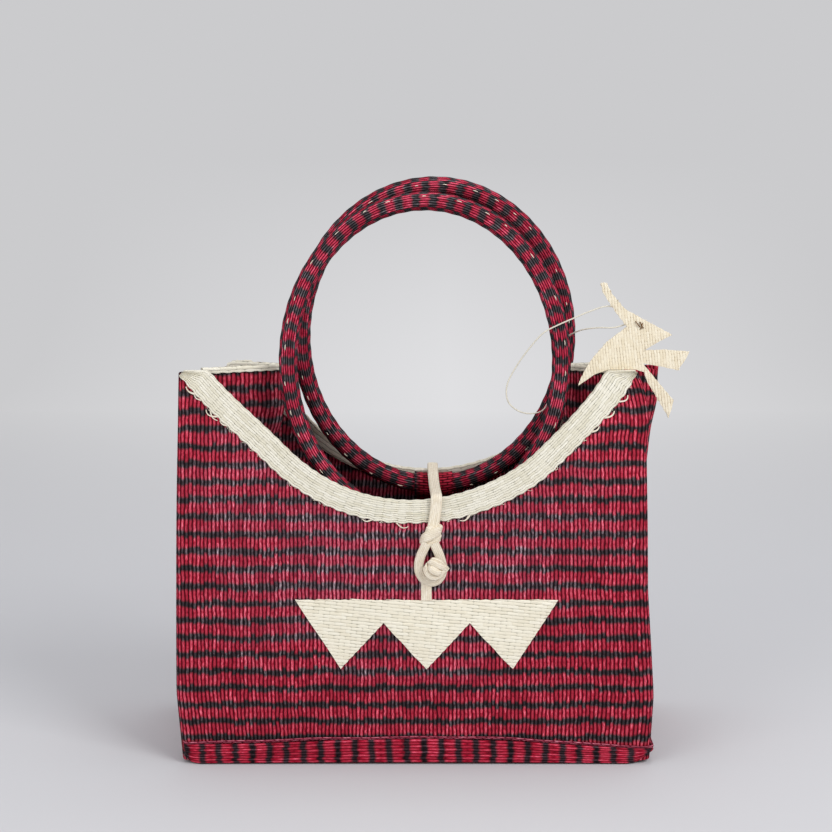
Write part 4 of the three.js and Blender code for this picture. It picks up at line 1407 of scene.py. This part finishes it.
    def button(self) -> Piece:
        """The button knot: a ball wrapped in flat cord that ends in a point."""
        z = self.button_z
        origin = (self.x + 1.1, -(self.cloth_face(z) + 2.6 + self.button_depth / 2), z)
        pick_none()
        bpy.ops.mesh.primitive_uv_sphere_add(
            segments=28,
            ring_count=18,
            radius=(self.button_radius - 1.0) * MM,
            location=tuple(place * MM for place in origin),
        )
        core = bpy.context.active_object
        core.name = "button_core"
        bpy.ops.object.transform_apply(location=True, rotation=True, scale=True)
        core.data.uv_layers[0].name = WEAVE_MAP
        parts = [core]
        wraps = [
            [
                (-4.4, -0.2, 3.8), (-5.2, -1.6, 0.4), (-3.8, -2.8, -3.0), (-0.4, -3.2, -4.8),
                (3.4, -2.8, -3.8), (6.0, -1.4, -1.2), (9.2, -0.4, 0.6),
            ],
            [(-4.0, -1.4, 4.3), (-0.6, -3.2, 4.4), (2.8, -3.6, 2.6), (5.6, -2.2, 1.2), (8.8, -0.8, 0.8)],
            [(-3.2, -3.2, 2.0), (-1.0, -4.5, -0.4), (2.2, -4.4, -1.8), (4.6, -2.6, -1.6)],
            [(-2.4, 0.4, 5.2), (1.2, -1.2, 5.3), (4.2, -0.8, 3.4), (5.4, 0.6, 0.8)],
            [(-4.8, 0.8, -1.8), (-2.4, -0.6, -5.0), (1.8, -0.2, -5.2), (4.4, 1.0, -3.0)],
        ]
        for index, wrap in enumerate(wraps):
            parts.append(self.strand(f"button_wrap_{index}", shifted(origin, wrap), 3.6, 2.2, 0.3))
        return self.tied(join_all("wrapped_button", parts), "bag", "button_knot")

    def stem(self) -> Piece:
        """The flat cord from the motif up to the button."""
        share = np.linspace(0.0, 1.0, 5)
        z = self.stem_low + (self.button_z - 2.0 - self.stem_low) * share
        x = self.x - 3.6 + 3.2 * np.maximum(0.0, share - 0.5) ** 1.5
        y = [-(self.cloth_face(height) + 0.95) for height in z]
        line = through(np.column_stack([x, y, z]), 24)
        piece = sweep("button_stem_cord", line, self.flat_section(6.6, 1.9, 20, 0.5, (0.12, 2)))
        return self.tied(piece, "bag", "button_stem")

    def build(self) -> None:
        """Builds the whole closure."""
        self.anchor()
        self.strap()
        self.overhand()
        self.loop()
        self.button()
        self.stem()


def cut_plate(
    name: str, outline: list, rib: float, slant: float, step: float, relief: float, edge_wobble: float
) -> Piece:
    """A flat cut-out in the XZ plane, cut up along its ribs, with its ribs raised.

    Args:
        name: the piece's name.
        outline: the corners, in millimetres.
        rib: the distance between ribs.
        slant: the ribs' angle above +X, in degrees.
        step: the distance between the cuts across the ribs.
        relief: half the height of the ribs.
        edge_wobble: how far the edge waves.

    Returns:
        The new object, one sheet that faces -Y, with the cloth's places.
    """
    pick_none()
    bpy.ops.mesh.primitive_circle_add(vertices=len(outline), radius=1.0, fill_type="NGON")
    piece = bpy.context.active_object
    mesh = piece.data
    piece.name = mesh.name = name
    corners = np.array([(x, 0.0, z) for x, z in outline])
    put_places(mesh, corners)
    in_edit_mode(
        piece,
        lambda: bpy.ops.mesh.quads_convert_to_tris(),
        lambda: bpy.ops.mesh.normals_make_consistent(inside=False),
    )
    c, s = math.cos(math.radians(slant)), math.sin(math.radians(slant))
    along, across = np.array([c, 0.0, s]), np.array([-s, 0.0, c])

    def cuts(normal: Array, pitch: float) -> list:
        """The bisect operators along one direction."""
        reach = corners @ normal / pitch
        return [
            lambda p=tuple(normal * k * pitch * MM): bpy.ops.mesh.bisect(
                plane_co=p, plane_no=tuple(normal), use_fill=False
            )
            for k in range(math.ceil(reach.min()), math.floor(reach.max()) + 1)
        ]

    in_edit_mode(piece, *cuts(across, rib / 2), *cuts(along, step))
    merge(piece, CUT_SEAM)
    place = places(mesh)
    up, far = place @ across, place @ along
    uses = {}
    for polygon in mesh.polygons:
        for key in polygon.edge_keys:
            uses[key] = uses.get(key, 0) + 1
    rim = np.zeros(len(place), dtype=bool)
    rim[[end for key, times in uses.items() if times == 1 for end in key]] = True
    place += across * np.where(rim, edge_wobble * np.sin(far * 1.1 + up * 0.7), 0.0)[:, None]
    place[:, 1] -= np.where(rim, -0.15, -np.cos(TURN * up / rib) * relief)
    put_places(mesh, place)
    put_weave(mesh, np.stack([up, far], axis=1))
    if sum(polygon.normal.y * polygon.area for polygon in mesh.polygons) > 0:
        in_edit_mode(piece, lambda: bpy.ops.mesh.flip_normals())
    return piece


@dataclass
class Motif:
    """The three hanging triangles sewn on the front."""

    finishes: Finishes
    x: float = 9.0
    top: float = 105.0
    width: float = 162.5
    drop: float = 43.5
    notch: float = 14.5
    pitch: float = 53.2
    thick: float = 1.2

    def build(self) -> Piece:
        """Cuts the motif and lays it on the bulging cloth."""
        ends = self.width / 2
        zigzag = [(step * self.pitch / 2, self.notch if step % 2 else self.drop) for step in range(-2, 3)]
        outline = [(-ends, 0.0), *zigzag, (ends, 0.0)]
        outline = [(self.x + x, self.top - down) for x, down in outline]
        piece = cut_plate(
            "front_motif_plait", outline, rib=2.1, slant=-5.5, step=3.2, relief=0.2, edge_wobble=0.22
        )
        x, y, z = places(piece.data).T
        put_places(piece.data, FORM.on_panel(Side.FRONT, x, z, FORM.face + self.thick - y))
        thicken(piece, self.thick)
        return finish_piece(piece, self.finishes.motif, "bag", "pale_plait", "front_motif", smooth=70.0)


@dataclass
class BirdCharm:
    """The plaited bird on the corner, and its thread round the front handle."""

    finishes: Finishes
    thick: float = 1.6
    thread: float = 0.9
    tie: tuple = (141.6, 271.8)

    def __post_init__(self) -> None:
        """Works out the plane that the bird hangs in."""
        self.back = -(float(FORM.half_depth(FORM.height)) - FORM.face - 0.3)

    def outline(self) -> list:
        """The bird's corners, as they are cut."""
        rest = FORM.height + 2 * FORM.gap + 1.5
        return [
            (116.6, 297.6), (118.4, 298.6), (120.4, 297.8), (123.6, 291.7), (131.6, 282.2),
            (137.0, 279.2), (144.0, 275.2), (153.5, 270.3), (161.6, 265.8), (153.0, 261.5),
            (144.2, 256.2), (158.0, 256.6), (172.6, 255.4), (169.4, 249.5), (165.6, 243.6),
            (155.0, 246.0), (143.6, 248.0), (147.4, 243.4), (153.4, 236.2), (163.4, 224.6),
            (160.4, 213.4), (152.8, 226.3), (146.2, 236.8), (144.4, rest - 1.5), (139.0, rest),
            (122.6, rest), (113.5, 241.0), (103.4, 233.9), (107.3, 243.3), (113.3, 252.6),
            (121.0, 261.6), (133.1, 271.0), (124.6, 282.2), (118.0, 292.4),
        ]

    def bird(self) -> Piece:
        """The bird, cut from plaited fibre."""
        piece = cut_plate(
            "bird_plait", self.outline(), rib=1.75, slant=97.0, step=3.0, relief=0.16, edge_wobble=0.2
        )
        put_places(piece.data, places(piece.data) + (0.0, self.back, 0.0))
        thicken(piece, self.thick)
        return finish_piece(piece, self.finishes.bird, "charm", "pale_plait", "bird_charm", smooth=70.0)

    def knot(self) -> Piece:
        """The stitches that tie the bird to its thread."""
        marks = [
            [(-3.2, 0.0, 2.6), (-2.0, -0.5, 1.0), (-0.6, 0.0, -0.8)],
            [(-0.4, 0.0, 2.2), (0.6, -0.6, -0.2), (0.2, 0.0, -2.4)],
            [(1.4, 0.0, 1.4), (0.6, -0.5, 0.0), (1.8, 0.0, -1.6)],
        ]
        origin = (self.tie[0], self.back - 0.5, self.tie[1])
        lines = [through(shifted(origin, mark), 12) for mark in marks]
        section = oval(0.8, 0.6, 8)
        parts = [sweep(f"tie_{k}", line, section, (0.0, 1.0, 0.2)) for k, line in enumerate(lines)]
        piece = join_all("charm_stitches", parts)
        return finish_piece(piece, self.finishes.tie, "charm", "pale_plait", "charm_knot")

    def route(self) -> list:
        """The thread's way: over the front ring, down in a slack loop, back between the rings."""
        y = self.back + self.thick + FORM.gap + self.thread / 2
        return [
            (141.8, y, 275.0), (132.8, y + 0.1, 280.0), (121.8, y, 283.5), (110.0, -25.6, 280.0),
            (99.8, -24.4, 275.4), (90.8, -24.3, 271.4), (82.3, -24.4, 266.9), (75.8, -23.2, 259.9),
            (65.8, -21.6, 245.9), (59.5, -21.8, 232.9), (60.3, -22.2, 222.9), (66.8, -21.8, 216.9),
            (74.8, -19.8, 214.9), (82.8, -17.5, 216.9), (87.8, -14.6, 226.9), (89.8, -11.0, 242.9),
            (92.8, -8.5, 254.9), (97.8, -8.5, 261.9), (105.8, -14.0, 266.9), (115.8, -21.4, 269.4),
            (125.8, y, 270.2), (133.8, y + 0.1, 272.4), (140.3, y, 273.0),
        ]

    def cord(self, knot: Piece) -> Piece:
        """The thread as a round curve, tied to the front handle."""
        line = through(self.route(), 120)
        curve = bpy.data.curves.new("charm_cord", "CURVE")
        curve.dimensions = "3D"
        curve.bevel_depth = self.thread / 2 * MM
        curve.bevel_resolution = 2
        curve.use_fill_caps = True
        spline = curve.splines.new("POLY")
        spline.points.add(len(line) - 1)
        for point, place in zip(spline.points, line):
            point.co = (*(place * MM), 1.0)
        piece = bpy.data.objects.new("charm_cord", curve)
        bpy.context.scene.collection.objects.link(piece)
        curve.materials.append(self.finishes.thread)
        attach(piece, "front_handle")
        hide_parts("charm_thread")
        return piece

    def build(self) -> None:
        """Builds the bird, its stitches and the thread."""
        self.bird()
        self.cord(self.knot())


@dataclass
class Fray:
    """Loose fibre ends along the bindings and round the bird."""

    finishes: Finishes
    seed: int = 7
    crest: float = 0.55
    sides: int = 3
    rim: tuple = (-124, 124, 56)
    left: tuple = (-126, -100, 14)
    right: tuple = (92, 126, 12)
    curls: tuple = (-124.5, -121.0, -116.0, -111.0, -105.0, -22.0, -9.0, 33.0, 101.0, 109.0, 118.0)
    side_ends: int = 36
    bird_ends: int = 120
    bird_end: float = 1.3
    clear: float = 12.0

    def fibres(self, name: str, roots: list, body: str) -> Piece:
        """Joins fibres into one piece.

        Args:
            name: the piece's name.
            roots: for each fibre its line of points and its thickness.
            body: the body that it moves with.

        Returns:
            The new object.
        """
        turn = TURN * np.arange(self.sides + 1)[:, None] / self.sides
        rows = []
        for line, thick in roots:
            line = np.array(line, dtype=float)
            across, outward = frames(line, np.array([0.2, 1.0, 0.1]))
            for k, place in enumerate(line):
                radius = thick / 2 * (1.0 - 0.5 * k / (len(line) - 1))
                rows.append(place + radius * (np.cos(turn) * across[k] + np.sin(turn) * outward[k]))
        points = np.array(rows)
        piece = lay_grid(name, points, self.crest, np.arange(len(points))[:, None])
        ends = np.cumsum([len(line) for line, _ in roots])[:-1] - 1
        joins = np.rint(points[np.concatenate([ends, ends + 1])].reshape(-1, 3) * 100).astype(int)
        there = {tuple(place) for place in joins}
        mesh = piece.data
        link = [tuple(place) in there for place in np.rint(places(mesh) * 100).astype(int)]
        mesh.vertices.foreach_set("select", link)
        mesh.edges.foreach_set("select", [False] * len(mesh.edges))
        mesh.polygons.foreach_set("select", [all(link[i] for i in face.vertices) for face in mesh.polygons])
        make_active(piece)
        bpy.ops.object.mode_set(mode="EDIT")
        bpy.ops.mesh.select_mode(type="FACE")
        bpy.ops.mesh.delete(type="FACE")
        bpy.ops.mesh.select_mode(type="VERT")
        bpy.ops.object.mode_set(mode="OBJECT")
        close_up(piece)
        return finish_piece(piece, self.finishes.cord, body, "pale_plait")

    def spots(self, span: tuple, rng: random.Random) -> list:
        """Places on a trim for plain ends, from a span's ends and its count."""
        low, high, count = span
        return [(rng.uniform(low, high), False) for _ in range(count)]

    def along_trim(self, side: Side, rng: random.Random) -> list:
        """Ends that stick out of a scooped trim's lower edge, more of them at the front's corners."""
        spots = self.spots(self.rim, rng)
        if side is Side.FRONT:
            spots += self.spots(self.left, rng)
            spots += [(x, True) for x in self.curls]
            spots += self.spots(self.right, rng)
        return [self.trim_end(side, x, curl, rng) for x, curl in spots]

    def trim_end(self, side: Side, x: float, curl: bool, rng: random.Random) -> tuple:
        """One loose end at a place on a scooped trim, longer and bent over if it curls."""
        sine = float(np.clip(x / FORM.scoop_radius, -SLOPE, SLOPE))
        down = np.array([sine, -math.sqrt(1 - sine * sine)])
        along = np.array([-down[1], down[0]]) * rng.choice((-1, 1))
        length = rng.uniform(5.0, 8.5) if curl else rng.uniform(1.0, 3.0)
        steep = rng.uniform(0.3, 0.45) if curl else rng.uniform(0.3, 1.0)
        share = np.linspace(0.0, 1.0, 7)[:, None]
        off = Trims.width_at(x) - 0.8 + length * steep * np.sin(math.pi * share * (0.75 if curl else 0.5))
        px, pz = (np.array([x, FORM.scoop_edge(x, side)]) + down * off + along * length * share).T
        out = FORM.cloth / 2 + 1.1 - 0.6 * share[:, 0]
        line = FORM.on_panel(side, px, np.minimum(pz, FORM.height - 1.0), out)
        return line, rng.uniform(1.1, 1.6) if curl else rng.uniform(0.3, 0.55)

    def along_sides(self, rng: random.Random) -> list:
        """Ends along the bindings of the folded sides."""
        roots = []
        for hand in np.repeat((-1, 1), self.side_ends):
            v = rng.uniform(-0.75, 0.75)
            top = float(FORM.gusset_top(v))
            high = rng.random() < 0.5
            rise, out, way = (1.2, 0.0, 1) if high else (-4.6, 2.2, -1)
            foot = FORM.on_gusset(hand, v, top + min(rise, 0.0), out) + (0.0, 0.0, max(rise, 0.0))
            lean = np.array([rng.uniform(-2.5, 2.5), rng.uniform(-2.0, 2.0), rng.uniform(0.5, 2.2) * way])
            line = [foot, foot + lean * 0.4, foot + lean * 0.8 + (0.0, 0.0, 0.1), foot + lean]
            roots.append((line, 0.35))
        return roots

    def round_outline(self, outline: list, y: float, count: int, length: float, rng: random.Random) -> list:
        """Ends round a cut-out's edge.

        Args:
            outline: the cut-out's corners.
            y: the plane that it lies in.
            count: how many ends it gets.
            length: the longest end.
            rng: the source of chance.

        Returns:
            For each end its line of points and its thickness.
        """
        corners = np.array(outline + outline[:1])
        far = running(corners)
        middle = corners[:-1].mean(axis=0)
        roots = []
        for _ in range(count):
            at = rng.uniform(0, far[-1])
            foot = np.array([np.interp(at, far, corners[:, axis]) for axis in (0, 1)])
            away = (foot - middle) / np.linalg.norm(foot - middle)
            turn = rng.uniform(-0.9, 0.9)
            c, s = math.cos(turn), math.sin(turn)
            reach = rng.uniform(0.4, 1.0) * length
            way = np.array([away[0] * c - away[1] * s, away[0] * s + away[1] * c]) * reach
            flat = foot + np.outer((-0.3, 0.2, 0.6, 1.0), way)
            roots.append((np.insert(flat, 1, y, axis=1), 0.3))
        return roots

    def build(self, bird: BirdCharm) -> None:
        """Builds the loose ends of the bag and of the bird."""
        rng = random.Random(self.seed)
        roots = self.along_trim(Side.FRONT, rng) + self.along_trim(Side.BACK, rng) + self.along_sides(rng)
        self.fibres("loose_fibres", roots, "bag")
        y = bird.back + bird.thick / 2
        roots = self.round_outline(bird.outline(), y, self.bird_ends, self.bird_end, rng)
        roots = [(line, thick) for line, thick in roots if line[0][2] > FORM.height + self.clear]
        self.fibres("bird_fibres", roots, "charm")


@dataclass
class Studio:
    """Floor, backdrop, lights and camera, in metres.

    The sweep's reach, curve and wall are in millimetres, as lay_grid takes them.
    """

    pitch: float = 9.5
    distance: float = 1.25
    target: tuple = (0.0025, 0.0, 0.210)
    lens: float = 84.55
    sensor: float = 36.0
    reach: float = 3000.0
    curve_at: float = 1500.0
    curve: float = 900.0
    wall: float = 3200.0
    grey: tuple = rgb(203, 203, 205)
    aim: tuple = (0.0, 0.0, 0.15)
    lamps: tuple = (
        ("key", (1.15, -1.25, 1.35), 0.9, 20.0),
        ("fill", (-1.2, -1.3, 0.9), 1.2, 10.0),
        ("top", (0.1, 0.3, 1.7), 1.0, 7.0),
    )

    def add(self, name: str, data: bpy.types.ID) -> Piece:
        """Adds a camera or lamp to the scene."""
        thing = bpy.data.objects.new(name, data)
        bpy.context.scene.collection.objects.link(thing)
        return thing

    def camera(self) -> None:
        """The camera at the photograph's angle."""
        data = bpy.data.cameras.new("camera")
        data.lens = self.lens
        data.sensor_width = self.sensor
        eye = self.add("camera", data)
        pitch = math.radians(self.pitch)
        away = Vector((0.0, -math.cos(pitch), math.sin(pitch))) * self.distance
        eye.location = Vector(self.target) + away
        eye.rotation_euler = (-away).to_track_quat("-Z", "Y").to_euler()
        bpy.context.scene.camera = eye

    def backdrop(self) -> None:
        """A pale sweep of floor, curve and wall that fades into plain grey away from the bag."""
        bend = np.linspace(0.1, TURN / 4, 14)
        floor = np.linspace(-self.reach, self.curve_at, 24)
        x = np.linspace(-self.reach, self.reach, 13)[None, :]
        y = np.concatenate([floor, self.curve_at + self.curve * np.sin(bend), [self.curve_at + self.curve]])
        z = np.concatenate([np.zeros(24), self.curve * (1.0 - np.cos(bend)), [self.wall]])
        points = np.stack(np.broadcast_arrays(x, y[:, None], z[:, None]), axis=-1)
        sweep_sheet = lay_grid("studio_sweep", points, x * MM, y[:, None] * MM)
        shade(sweep_sheet, 60.0)
        finish = Finish("studio_sweep")
        b = finish.bench
        across, behind, up = b.split(b.spot())
        far = b.maths("MAXIMUM", b.span(abs(across), 0.7, 1.6), b.span(abs(behind), 0.35, 1.3))
        far = far * b.read("ShaderNodeLightPath", out="Is Camera Ray")
        spread = b.span(abs(across - 0.05), 0.0, 0.62, 1.0, 0.0)
        glow = spread * b.span(behind, -0.2, 0.3) * b.span(up, 0.0, 0.3, 1.0, 0.0)
        finish.give(
            Base_Color=b.mix(far, rgb(206, 206, 208), BLACK),
            Emission_Color=b.mix(far, BLACK, b.mix(glow, self.grey, rgb(224, 224, 226))),
            Emission_Strength=1.0,
            Roughness=0.9,
            Specular_IOR_Level=0.0,
        )
        sweep_sheet.data.materials.append(finish.material)

    def world(self) -> None:
        """Even grey light, and the plain grey that the camera sees."""
        world = bpy.data.worlds.new("studio")
        bpy.context.scene.world = world
        world.use_nodes = True
        b = Bench(world.node_tree)
        background = world.node_tree.nodes["Background"]
        ray = b.read("ShaderNodeLightPath", out="Is Camera Ray")
        b.put(background.inputs["Color"], b.mix(ray, (0.94, 0.95, 1.0, 1.0), self.grey))
        b.put(background.inputs["Strength"], ray * 0.45 + 0.55)

    def lamp(self, name: str, place: tuple, size: float, power: float) -> None:
        """One soft square lamp that points at the bag."""
        data = bpy.data.lights.new(name, "AREA")
        data.size = size
        data.energy = power
        lamp = self.add(name, data)
        lamp.location = place
        way = Vector(self.aim) - Vector(place)
        lamp.rotation_euler = way.to_track_quat("-Z", "Y").to_euler()

    def build(self) -> None:
        """Sets up the studio."""
        bpy.context.scene.view_settings.view_transform = "Standard"
        self.camera()
        self.backdrop()
        self.world()
        for lamp in self.lamps:
            self.lamp(*lamp)


def main() -> None:
    """Builds the studio and the bag."""
    Studio().build()
    finishes = Finishes()
    charm = BirdCharm(finishes)
    charm.build()
    WovenBody(finishes).build()
    Trims(finishes).build()
    for side in Side:
        RingHandle(finishes, side).build()
    Closure(finishes).build()
    Motif(finishes).build()
    Fray(finishes).build(charm)


if __name__ == "__main__":
    main()
